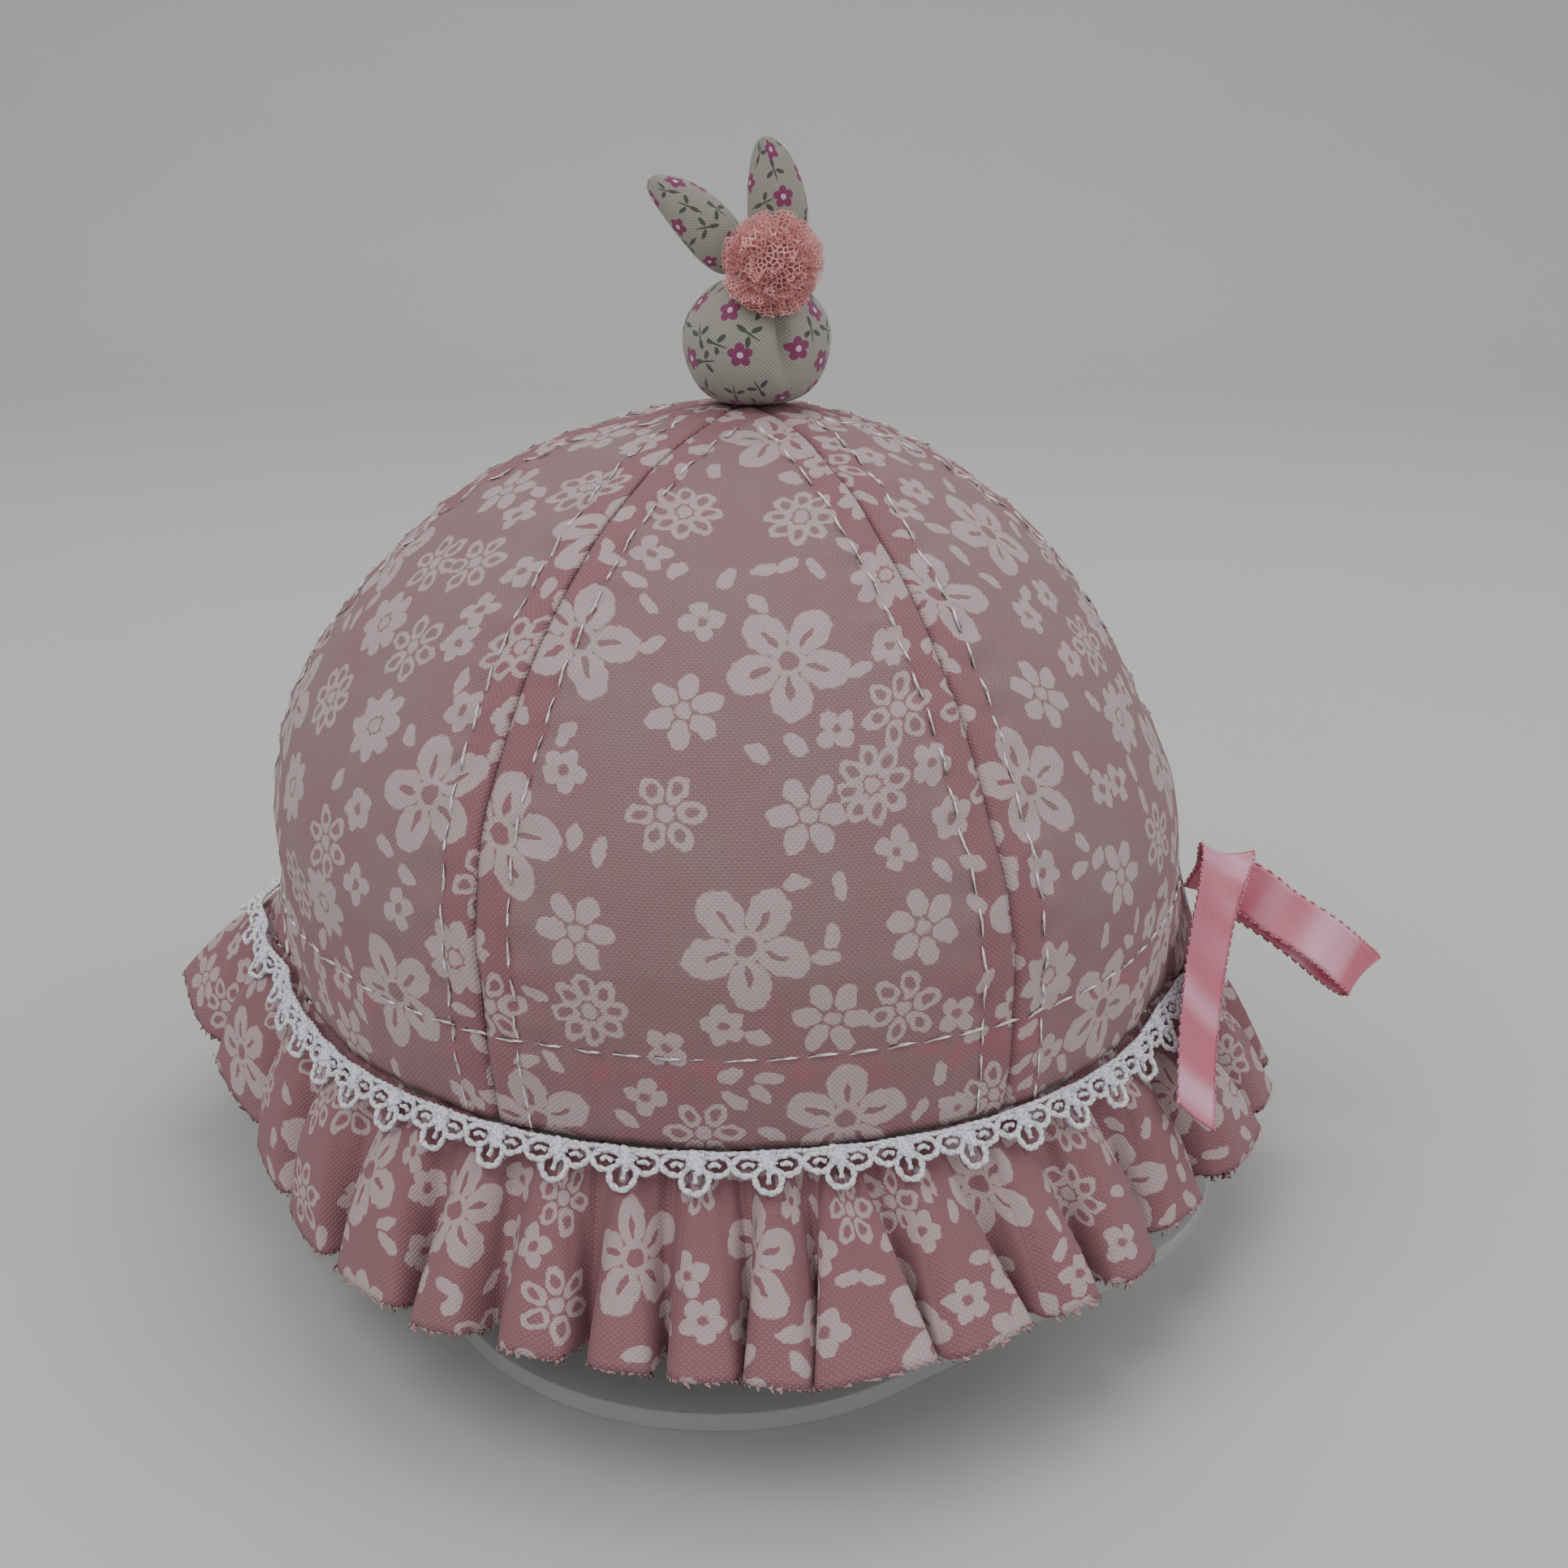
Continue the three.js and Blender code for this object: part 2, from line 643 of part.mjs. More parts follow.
// The pompom: flat locks of net fused to a round head, pressed against the rabbit behind it.
function pompom() {
  const centre = new THREE.Vector3(POMPOM.x, POMPOM.y, CROWN.height + POMPOM.height);
  let solid = toSolid(new THREE.SphereGeometry(POMPOM.headRadius, 12, 8));
  const golden = Math.PI * (3 - Math.sqrt(5));
  for (let index = 0; index < POMPOM.locks; index += 1) {
    const lift = 1 - (2 * (index + 0.5)) / POMPOM.locks;
    const flat = Math.sqrt(1 - lift * lift);
    const turn = golden * index;
    const reach = new THREE.Vector3(Math.cos(turn) * flat, Math.sin(turn) * flat, lift);
    const lock = new THREE.BoxGeometry(POMPOM.lockWidth, POMPOM.lockThickness, POMPOM.lockReach);
    lock.translate(0, 0, POMPOM.lockReach / 2);
    lock.rotateZ(turn * POMPOM.lockTwist);
    const aim = new THREE.Quaternion().setFromUnitVectors(new THREE.Vector3(0, 0, 1), reach);
    lock.applyQuaternion(aim);
    solid = solid.add(toSolid(lock));
  }
  solid = solid.translate(centre.toArray());
  solid = solid.subtract(toSolid(headGeometry(GAP)));
  for (const ear of EARS) solid = solid.subtract(toSolid(earGeometry(ear, GAP)));
  const bodies = solid.decompose().sort((a, b) => b.volume() - a.volume());
  return piece("pompom", fromSolid(bodies[0]), "net");
}

// The stand's foot: a plate with wide round corners.
function standBase() {
  const { halfWidth, halfLength, corner, thickness, turn } = STAND;
  const plate = new THREE.Shape();
  for (let side = 0; side < 4; side += 1) {
    const start = (side * Math.PI) / 2;
    const middle = start + Math.PI / 4;
    const x = Math.sign(Math.cos(middle)) * (halfWidth - corner);
    const y = Math.sign(Math.sin(middle)) * (halfLength - corner);
    plate.absarc(x, y, corner, start, start + Math.PI / 2, false);
  }
  plate.closePath();
  const geometry = new THREE.ExtrudeGeometry(plate, {
    depth: thickness,
    bevelEnabled: false,
    curveSegments: 6,
  });
  const mesh = piece("stand_base", geometry, "clear");
  mesh.rotation.z = degToRad(turn);
  mesh.position.set(STAND.x, STAND.y, -STAND.tableDrop);
  return mesh;
}

function standPost() {
  const low = STAND.thickness - STAND.tableDrop + GAP;
  const geometry = new THREE.CylinderGeometry(
    STAND.postRadius,
    STAND.postRadius,
    STAND.postTop - low,
    24,
  );
  geometry.rotateX(Math.PI / 2);
  const mesh = piece("stand_post", geometry, "clear");
  mesh.position.set(readTable(LEAN, "height", "shift", CROWN.height), 0, (STAND.postTop + low) / 2);
  return mesh;
}

// The cap that fills the crown's top from inside, with the post standing in its middle.
function standDome() {
  const holeRadius = STAND.postRadius + GAP + CLOTH;
  const low = shareWhere((profile) => profile.height > STAND.domeLow);
  const high = shareWhere((profile) => profile.radius < holeRadius);
  const outer = -CLOTH - LINING_GAP;
  return piece("stand_dome", liningRing(low, high, STAND.domeRows, outer, STAND.domeWall), "clear");
}

const model = new THREE.Group();
model.add(...crownPanels(), hemFacing(), laceTrim(), ruffle());
model.add(ribbon("ribbon_tail", RIBBON_TAIL, RIBBON.tailSteps));
model.add(ribbon("ribbon_loop", RIBBON_LOOP, RIBBON.loopSteps));
model.add(piece("rabbit_head", headGeometry(0), "cream"));
for (const ear of EARS) model.add(piece(ear.name, earGeometry(ear, 0), "cream"));
model.add(pompom(), standBase(), standPost(), standDome());

// The origin is the bottom centre of the whole thing's box.
const box = new THREE.Box3().setFromObject(model, true);
const middle = box.getCenter(new THREE.Vector3());
model.position.set(-middle.x, -middle.y, -box.min.z);
const bonnet = new THREE.Group();
bonnet.add(model);

export default bonnet;
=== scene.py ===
"""The looks of a baby sun bonnet with a stuffed rabbit on its top, on a clear stand.

Sizes are in millimetres in the bonnet's own frame, and become metres in the row's frame when a
mesh is finished. An azimuth is in degrees from the front, positive towards +X, and a height is
measured from the crown's lower edge.
"""

import logging
import math
import random
from collections.abc import Callable, Iterable, Mapping, Sequence
from dataclasses import dataclass, field
from enum import Enum
from typing import Any

import bmesh
import bpy
from mathutils import Matrix, Vector, noise


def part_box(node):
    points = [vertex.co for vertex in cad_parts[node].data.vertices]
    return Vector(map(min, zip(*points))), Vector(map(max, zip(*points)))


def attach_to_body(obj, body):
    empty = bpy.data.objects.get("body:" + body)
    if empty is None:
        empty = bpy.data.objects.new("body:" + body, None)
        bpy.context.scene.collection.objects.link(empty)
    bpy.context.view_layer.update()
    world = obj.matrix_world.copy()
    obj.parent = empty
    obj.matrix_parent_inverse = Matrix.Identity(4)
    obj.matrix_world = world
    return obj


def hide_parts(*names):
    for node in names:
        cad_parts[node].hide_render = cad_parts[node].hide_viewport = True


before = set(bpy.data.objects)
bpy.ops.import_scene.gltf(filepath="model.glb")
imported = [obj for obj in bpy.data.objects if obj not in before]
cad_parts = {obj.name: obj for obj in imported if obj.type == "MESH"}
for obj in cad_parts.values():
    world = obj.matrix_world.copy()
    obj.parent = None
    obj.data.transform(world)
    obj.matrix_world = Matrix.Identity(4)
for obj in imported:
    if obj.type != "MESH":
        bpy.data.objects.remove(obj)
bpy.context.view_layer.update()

LOG = logging.getLogger("bonnet")
MM = 0.001
UV_MM = 100.0
TAU = 2 * math.pi
LEVEL = 1e-6
POST_LEAN = 2.6
EDGE_HEIGHT = 45.0
LAYERS = ("cloth", "sewn")
AWAY_FROM_SEAMS = (9.0, 9.0)

Table = tuple[tuple[float, ...], ...]
Place = Callable[[float, float], Vector]
Pair = Callable[[float, float], tuple[float, float]]
Colour = tuple[float, float, float]


def bonnet_origin() -> Vector:
    """Finds the middle of the crown's edge from the stand's packed boxes.

    Returns:
        The point in the row's frame, in metres.
    """
    low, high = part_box("stand_post")
    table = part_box("stand_base")[0].z
    across = (low.x + high.x) / 2 - POST_LEAN * MM
    return Vector((across, (low.y + high.y) / 2, table + EDGE_HEIGHT * MM))


ORIGIN = bonnet_origin()


def to_row(point: Vector) -> Vector:
    """A point of the bonnet's frame, in millimetres, as one of the row's frame, in metres."""
    return ORIGIN + point * MM


def smooth(low: float, high: float, value: float) -> float:
    """A smooth step from 0 at low to 1 at high."""
    share = min(max((value - low) / (high - low), 0.0), 1.0)
    return share * share * (3 - 2 * share)


def bump(value: float, width: float) -> float:
    """A soft bump of height 1 and the given half width round 0."""
    return math.exp(-((value / width) ** 2))


def read_table(table: Table, at: float, column: int = 1) -> float:
    """A column of a table at a place between its rows, with a smooth step from row to row.

    Args:
        table: Rows that start with the place they hold for, in order.
        at: The place to read.
        column: The column to read.

    Returns:
        The column's value there, or that of the first or last row outside the table.
    """
    if at <= table[0][0]:
        return table[0][column]
    if at >= table[-1][0]:
        return table[-1][column]
    high = next(index for index, row in enumerate(table) if row[0] > at)
    low, top = table[high - 1], table[high]
    share = smooth(low[0], top[0], at)
    return low[column] + (top[column] - low[column]) * share


def outward(azimuth: float) -> Vector:
    """The level direction of an azimuth."""
    angle = math.radians(azimuth)
    return Vector((math.sin(angle), -math.cos(angle), 0.0))


def wrap(azimuth: float) -> float:
    """An azimuth from -180 to 180."""
    return (azimuth + 180) % 360 - 180


def wander(at: Vector) -> Vector:
    """A soft shift in any direction, the same for a place at each run."""
    return Vector([noise.noise(at + Vector((20.0 * side, 0, 0))) for side in (1, 2, 3)])


def run_lengths(spots: Sequence[Vector]) -> list[float]:
    """Measures the way along a line of points.

    Args:
        spots: The points.

    Returns:
        The way from the first point to each.
    """
    run = [0.0]
    for first, second in zip(spots, spots[1:]):
        run.append(run[-1] + (second - first).length)
    return run


def off_seams(_u: float, _v: float) -> tuple[float, float]:
    """The "sewn" place of cloth that lies away from every seam and hem."""
    return AWAY_FROM_SEAMS


class Curve:
    """A smooth line through points, closed or open."""

    def __init__(
        self, points: Sequence[Vector], closed: bool = False, tension: float = 0.5
    ) -> None:
        """Keeps the points.

        Args:
            points: The points that the line passes.
            closed: Whether the last point joins the first.
            tension: The share of the neighbours' distance that a point's direction takes.
        """
        self.points = list(points)
        self.closed = closed
        self.tension = tension

    def at(self, share: float) -> Vector:
        """Finds a point of the line.

        Args:
            share: The share of the line, from 0 to 1, counted evenly from point to point.

        Returns:
            The point.
        """
        count = len(self.points)
        if self.closed:
            place = (share % 1.0) * count
        else:
            place = min(max(share, 0.0), 1.0) * (count - 1)
        first = min(int(place), count - 1 if self.closed else count - 2)
        part = place - first
        before, start, end, after = (self._point(first + step) for step in (-1, 0, 1, 2))
        leave = (end - before) * self.tension
        arrive = (after - start) * self.tension
        return (
            start
            + leave * part
            + (end * 3 - start * 3 - leave * 2 - arrive) * part**2
            + (start * 2 - end * 2 + leave + arrive) * part**3
        )

    def _point(self, index: int) -> Vector:
        """Finds a point by its number, past the ends too.

        Args:
            index: The point's number.

        Returns:
            The point, or where the next one would be past an end.
        """
        count = len(self.points)
        if self.closed:
            return self.points[index % count]
        if index < 0:
            return self.points[0] * 2 - self.points[1]
        if index >= count:
            return self.points[-1] * 2 - self.points[-2]
        return self.points[index]

    def steps(self, pitch: float) -> list[float]:
        """Divides the line evenly along its length.

        Args:
            pitch: About how far apart the marks are.

        Returns:
            The marks' shares of the line.
        """
        fine = 40 * len(self.points)
        run = run_lengths([self.at(index / fine) for index in range(fine + 1)])
        count = max(2, round(run[-1] / pitch))
        shares, index = [], 0
        for number in range(count + 1):
            goal = run[-1] * number / count
            while index < fine - 1 and run[index + 1] < goal:
                index += 1
            gap = run[index + 1] - run[index]
            shares.append((index + (goal - run[index]) / gap if gap else index) / fine)
        return shares


# ---------------------------------------------------------------- finishes


class Number:
    """A number at a node's socket. Python's arithmetic on it adds Math nodes."""

    def __init__(self, paint: "Paint", socket: bpy.types.NodeSocket) -> None:
        """Keeps the socket and the paint whose tree it is in."""
        self.paint = paint
        self.socket = socket

    def math(self, operation: str, *others: "Number | float") -> "Number":
        """Adds a Math node on this number and the others.

        Args:
            operation: The node's operation.
            others: Its other inputs, in order.

        Returns:
            The node's result.
        """
        values = dict(enumerate((self, *others)))
        node = self.paint.node("ShaderNodeMath", {"operation": operation}, values)
        return Number(self.paint, node.outputs[0])

    def _swapped(self, operation: str, other: float) -> "Number":
        """The result of a Math node with the other value first."""
        node = self.paint.node("ShaderNodeMath", {"operation": operation}, {0: other, 1: self})
        return Number(self.paint, node.outputs[0])

    def __add__(self, other: "Number | float") -> "Number":
        """The sum."""
        return self.math("ADD", other)

    def __radd__(self, other: float) -> "Number":
        """The sum, with this number second."""
        return self._swapped("ADD", other)

    def __sub__(self, other: "Number | float") -> "Number":
        """The difference."""
        return self.math("SUBTRACT", other)

    def __rsub__(self, other: float) -> "Number":
        """The difference, with this number second."""
        return self._swapped("SUBTRACT", other)

    def __mul__(self, other: "Number | float") -> "Number":
        """The product."""
        return self.math("MULTIPLY", other)

    def __rmul__(self, other: float) -> "Number":
        """The product, with this number second."""
        return self._swapped("MULTIPLY", other)

    def __truediv__(self, other: "Number | float") -> "Number":
        """The quotient."""
        return self.math("DIVIDE", other)

    def step(self, low: float, high: float) -> "Number":
        """Adds a smooth step from 0 to 1.

        Args:
            low: The value where it starts.
            high: The value where it ends.

        Returns:
            The step.
        """
        node = self.paint.node(
            "ShaderNodeMapRange",
            {"interpolation_type": "SMOOTHSTEP"},
            {0: self, 1: low, 2: high, 3: 0.0, 4: 1.0},
        )
        return Number(self.paint, node.outputs[0])


class Paint:
    """A material in the making: its node tree and its shader."""

    def __init__(self, name: str) -> None:
        """Makes an empty material.

        Args:
            name: The material's name.
        """
        self.material = bpy.data.materials.new(name)
        self.material.use_nodes = True
        self.tree = self.material.node_tree
        self.shader = self.tree.nodes["Principled BSDF"]

    def node(
        self, kind: str, settings: Mapping[str, Any], inputs: Mapping[str | int, Any]
    ) -> bpy.types.Node:
        """Adds a node.

        Args:
            kind: The node's type.
            settings: Its properties, and "stops" for a ramp's places and colours.
            inputs: Values or links of its sockets, by name or number.

        Returns:
            The node.
        """
        made = self.tree.nodes.new(kind)
        for key, value in settings.items():
            if key == "stops":
                self._set_stops(made.color_ramp, value)
            else:
                setattr(made, key, value)
        for key, value in inputs.items():
            self.feed(made.inputs[key], value)
        return made

    def _set_stops(self, ramp: bpy.types.ColorRamp, stops: Sequence[tuple[float, Colour]]) -> None:
        """Gives a ramp its stops.

        Args:
            ramp: The ramp.
            stops: The place and the colour of each stop.
        """
        while len(ramp.elements) < len(stops):
            ramp.elements.new(1.0)
        for element, (place, colour) in zip(ramp.elements, stops):
            element.position = place
            element.color = (*colour, 1.0)

    def feed(self, socket: bpy.types.NodeSocket, value: Any) -> None:
        """Links a socket or sets its value.

        Args:
            socket: The socket to feed.
            value: A number, a socket, a colour or a plain value.
        """
        if isinstance(value, Number):
            value = value.socket
        if isinstance(value, bpy.types.NodeSocket):
            self.tree.links.new(value, socket)
        elif isinstance(value, tuple) and len(value) == 3 and socket.type == "RGBA":
            socket.default_value = (*value, 1.0)
        else:
            socket.default_value = value

    def mix(self, factor: Any, first: Any, second: Any) -> bpy.types.NodeSocket:
        """The colour that a factor picks between two."""
        node = self.node("ShaderNodeMix", {"data_type": "RGBA"}, {0: factor, 6: first, 7: second})
        return node.outputs[2]

    def vector(self, operation: str, inputs: Mapping[str | int, Any]) -> bpy.types.NodeSocket:
        """The vector that a Vector Math node gives."""
        return self.node("ShaderNodeVectorMath", {"operation": operation}, inputs).outputs[0]

    def flat(self, layer: str) -> bpy.types.NodeSocket:
        """A UV map's place in millimetres."""
        node = self.node("ShaderNodeUVMap", {"uv_map": layer}, {})
        return self.vector("SCALE", {0: node.outputs[0], "Scale": UV_MM})

    def solid(self) -> bpy.types.NodeSocket:
        """The Object coordinates in millimetres."""
        node = self.node("ShaderNodeTexCoord", {}, {})
        return self.vector("SCALE", {0: node.outputs["Object"], "Scale": 1 / MM})

    def stretched(self, at: Any, sizes: tuple[float, float, float]) -> bpy.types.NodeSocket:
        """A place with each of its numbers multiplied."""
        return self.vector("MULTIPLY", {0: at, 1: sizes})

    def split(self, at: Any) -> tuple[Number, Number, Number]:
        """The three numbers of a vector."""
        node = self.node("ShaderNodeSeparateXYZ", {}, {0: at})
        return tuple(Number(self, socket) for socket in node.outputs)

    def noise(self, at: Any, size: float, detail: float = 2.0) -> Number:
        """A soft noise from 0 to 1 whose spots are about a size in millimetres."""
        inputs = {"Vector": at, "Scale": 1 / size, "Detail": detail}
        return Number(self, self.node("ShaderNodeTexNoise", {}, inputs).outputs[0])

    def finish(
        self,
        colour: Any,
        rough: Any,
        height: Number | None = None,
        depth: float = 0.1,
        **constants: float,
    ) -> bpy.types.Material:
        """Feeds the shader.

        Args:
            colour: The base colour.
            rough: The roughness.
            height: A relief from 0 to 1.
            depth: What a relief of 1 stands for, in millimetres.
            constants: The shader's other sockets, with _ for a space in the name.

        Returns:
            The material.
        """
        self.feed(self.shader.inputs["Base Color"], colour)
        self.feed(self.shader.inputs["Roughness"], rough)
        if height is not None:
            bumps = self.node(
                "ShaderNodeBump", {}, {"Strength": 1.0, "Distance": depth * MM, "Height": height}
            )
            self.feed(self.shader.inputs["Normal"], bumps.outputs[0])
        for name, value in constants.items():
            self.feed(self.shader.inputs[name.replace("_", " ")], value)
        return self.material


@dataclass(frozen=True)
class Weave:
    """A plain weave of one thread over, one under."""

    pitch: float = 0.41

    def threads(self, paint: Paint) -> tuple[Number, Number]:
        """The weave at a place.

        Args:
            paint: The material in the making.

        Returns:
            The threads' height from 0 to 1, and how open the cloth is between them.
        """
        at = paint.flat("cloth")
        sway = paint.vector("SCALE", {0: self._drift(paint, at), "Scale": 0.5})
        across, along, _ = paint.split(paint.vector("ADD", {0: at, 1: sway}))
        warp = (across * (math.pi / self.pitch)).math("SINE")
        weft = (along * (math.pi / self.pitch)).math("SINE")
        over = warp * weft
        opening = (1 - warp.math("ABSOLUTE")) * (1 - weft.math("ABSOLUTE"))
        return over * 0.35 + 0.5, opening

    def _drift(self, paint: Paint, at: bpy.types.NodeSocket) -> bpy.types.NodeSocket:
        """The slow waver of the threads."""
        node = paint.node("ShaderNodeTexNoise", {}, {"Vector": at, "Scale": 0.12, "Detail": 1.0})
        return paint.vector("SUBTRACT", {0: node.outputs[1], 1: (0.5, 0.5, 0.5)})


@dataclass(frozen=True)
class Bloom:
    """One size of printed flower and the loose grid that it is scattered on."""

    cell: float
    jitter: float
    radius: float
    petals: float
    shift: tuple[float, float, float]


@dataclass(frozen=True)
class Spot:
    """The nearest flower of a scatter: its middle, the place from it, its chances, its distance."""

    middle: bpy.types.NodeSocket
    local: bpy.types.NodeSocket
    chance: tuple[Number, Number, Number]
    away: Number


def scatter(paint: Paint, at: Any, bloom: Bloom) -> Spot:
    """Finds the nearest flower of a scatter.

    Args:
        paint: The material in the making.
        at: The place in millimetres.
        bloom: The flower and its grid.

    Returns:
        The flower's spot.
    """
    moved = paint.vector("ADD", {0: at, 1: bloom.shift})
    scaled = paint.vector("SCALE", {0: moved, "Scale": 1 / bloom.cell})
    cells = paint.node(
        "ShaderNodeTexVoronoi",
        {"voronoi_dimensions": "2D", "feature": "F1"},
        {"Vector": scaled, "Scale": 1.0, "Randomness": bloom.jitter},
    )
    centre = paint.vector("SCALE", {0: cells.outputs["Position"], "Scale": bloom.cell})
    local = paint.vector("SUBTRACT", {0: moved, 1: centre})
    chance = paint.node("ShaderNodeSeparateColor", {}, {0: cells.outputs["Color"]})
    return Spot(
        paint.vector("SUBTRACT", {0: centre, 1: bloom.shift}),
        local,
        tuple(Number(paint, socket) for socket in chance.outputs),
        Number(paint, cells.outputs["Distance"]) * bloom.cell,
    )


@dataclass(frozen=True)
class Petals:
    """A place as a flower's petals see it."""

    along: Number
    aside: Number
    radius: Number

    def oval(self, middle: float, half_length: float, half_width: float) -> Number:
        """Measures how far a place is from a petal's middle.

        Args:
            middle: The petal's middle, from the flower's.
            half_length: Its half length.
            half_width: Its half width.

        Returns:
            The square of the distance, 1 at the petal's rim.
        """
        along = (self.along - middle) / half_length
        aside = self.aside / half_width
        return along * along + aside * aside


def petals_of(paint: Paint, spot: Spot, petals: float | Number) -> Petals:
    """Folds a place round a flower into one petal.

    Args:
        paint: The material in the making.
        spot: The flower's spot.
        petals: How many petals it has.

    Returns:
        The place along and across the petal, and its distance from the flower's middle.
    """
    x, y, _ = paint.split(spot.local)
    radius = (x * x + y * y).math("SQRT")
    turn = y.math("ARCTAN2", x) + spot.chance[0] * TAU
    part = (turn * petals / TAU).math("FRACT") - 0.5
    angle = part * TAU / petals
    return Petals(radius * angle.math("COSINE"), radius * angle.math("SINE"), radius)


@dataclass(frozen=True)
class PrintedLawn:
    """Thin dusty pink cotton with an off-white print of flowers and leaves."""

    name: str = "printed_lawn"
    pink: Colour = (0.265, 0.138, 0.15)
    # grey_pink: painted shade, the cloth greyed by the dark inside seen through a single layer
    grey_pink: Colour = (0.25, 0.165, 0.162)
    deep_pink: Colour = (0.25, 0.092, 0.112)
    # gap: painted shade, the dark inside of the crown seen through the openings between threads
    gap: Colour = (0.12, 0.045, 0.048)
    turning: Colour = (0.36, 0.1, 0.135)
    ink: Colour = (0.49, 0.375, 0.39)
    big: Bloom = Bloom(35.0, 0.5, 8.8, 5.0, (3.0, 7.0, 0.0))
    middling: Bloom = Bloom(14.6, 0.55, 5.6, 6.0, (41.0, 13.0, 0.0))
    small: Bloom = Bloom(8.6, 0.6, 3.2, 5.0, (17.0, 71.0, 0.0))
    leaf: Bloom = Bloom(5.0, 0.7, 2.1, 1.0, (5.0, 29.0, 0.0))
    clear_of_big: tuple[float, float, float] = (14.0, 11.6, 10.0)
    small_off_middling: float = 8.6
    leaf_off_middling: float = 7.0
    leaf_off_small: float = 4.6
    allowance: tuple[float, float] = (5.0, 6.2)
    hem: tuple[float, float] = (13.6, 15.0)
    facing: tuple[float, float] = (24.0, 26.5)
    fold_at: float = 11.5

    def material(self) -> bpy.types.Material:
        """Makes the cloth's material.

        Returns:
            The material, with its weave, its doubled layers and its print.
        """
        paint = Paint(self.name)
        at = paint.flat("cloth")
        ink = self._ink(paint, at)
        over, opening = Weave().threads(paint)
        seam, rise, _ = paint.split(paint.flat("sewn"))
        ragged = seam + paint.noise(at, 2.6, 3.0) * 3.0 - 1.5
        doubled = 1 - ragged.step(*self.allowance)
        hemmed = 1 - rise.step(*self.hem)
        faced = 1 - rise.step(*self.facing)
        off_fold = (rise - self.fold_at).math("ABSOLUTE").step(1.2, 3.2)
        turned = paint.noise(at, 5.0, 2.0).step(0.48, 0.62) * (1 - off_fold)
        thick = doubled.math("MAXIMUM", faced * 0.4).math("MAXIMUM", hemmed * 0.5)
        # Random patches between pink and grey-pink, the grey-pink being painted shade from the dark
        # inside seen through the single layer.
        patches = paint.noise(at, 14.0, 3.0)
        base = paint.mix(patches.step(0.3, 0.7), self.grey_pink, self.pink)
        base = paint.mix(thick * 0.75, base, self.deep_pink)
        base = paint.mix(turned * 0.6, base, self.turning)
        # Threads that lie on top are painted paler, a painted highlight where they catch the light.
        base = paint.mix(over.step(0.25, 0.8) * 0.35, base, self._raised_thread_highlight())
        # Painted shade in the openings between threads, where the dark inside shows through; less
        # where the cloth is doubled.
        base = paint.mix(opening.step(0.3, 0.9) * (0.8 - thick * 0.4), base, self.gap)
        # The print covers less in the openings and on threads that lie under, which adds to their
        # painted shade.
        cover = ink * (0.94 - opening.step(0.4, 1.0) * 0.5 - over.step(0.6, 0.2) * 0.14)
        colour = paint.mix(cover, base, self.ink)
        slub = paint.noise(paint.stretched(at, (0.25, 2.4, 1.0)), 1.0, 1.0)
        height = over * 0.8 - opening * 0.5 + slub * 0.3
        return paint.finish(colour, 0.88, height, 0.2, Sheen_Weight=0.06, Sheen_Roughness=0.5)

    def _raised_thread_highlight(self) -> Colour:
        """The painted highlight colour of a thread that lies on top and catches the light."""
        return tuple(part * 1.25 + 0.02 for part in self.pink)

    def _ink(self, paint: Paint, at: bpy.types.NodeSocket) -> Number:
        """Draws the print.

        Args:
            paint: The material in the making.
            at: The place in the flat cloth.

        Returns:
            1 in its flowers and leaves, 0 between them.
        """
        ragged = paint.node("ShaderNodeTexNoise", {}, {"Vector": at, "Scale": 0.55, "Detail": 2.0})
        sway = paint.vector("SUBTRACT", {0: ragged.outputs[1], 1: (0.5, 0.5, 0.5)})
        drawn = paint.vector("ADD", {0: at, 1: paint.vector("SCALE", {0: sway, "Scale": 1.5})})
        big = scatter(paint, drawn, self.big)
        middling = scatter(paint, drawn, self.middling)
        small = scatter(paint, drawn, self.small)
        leaf = scatter(paint, drawn, self.leaf)
        middling_room, small_room, leaf_room = self.clear_of_big
        keep_middling = self._clear(paint, middling.middle, [], middling_room)
        larger = [(self.middling, self.small_off_middling, middling_room)]
        keep_small = self._clear(paint, small.middle, larger, small_room)
        larger = [
            (self.middling, self.leaf_off_middling, middling_room),
            (self.small, self.leaf_off_small, small_room),
        ]
        keep_leaf = self._clear(paint, leaf.middle, larger, leaf_room)
        ink = self._big(paint, big)
        ink = ink.math("MAXIMUM", self._outlined(paint, middling) * keep_middling)
        ink = ink.math("MAXIMUM", self._filled(paint, small) * keep_small)
        return ink.math("MAXIMUM", self._leaf(paint, leaf) * keep_leaf)

    def _clear(
        self,
        paint: Paint,
        middle: bpy.types.NodeSocket,
        others: Iterable[tuple[Bloom, float, float]],
        from_big: float,
    ) -> Number:
        """Whether a flower's middle is clear of the larger flowers.

        Args:
            paint: The material in the making.
            middle: The flower's middle.
            others: Larger flowers, the room to leave round each, and its own room from a big one.
            from_big: The room to leave round a big flower.

        Returns:
            1 where the flower stays, 0 where it is left out.
        """
        keep = scatter(paint, middle, self.big).away.math("GREATER_THAN", from_big)
        for bloom, room, room_from_big in others:
            near = scatter(paint, middle, bloom)
            there = scatter(paint, near.middle, self.big).away.math("GREATER_THAN", room_from_big)
            touched = there * near.away.math("LESS_THAN", room)
            keep = keep * (1 - touched)
        return keep

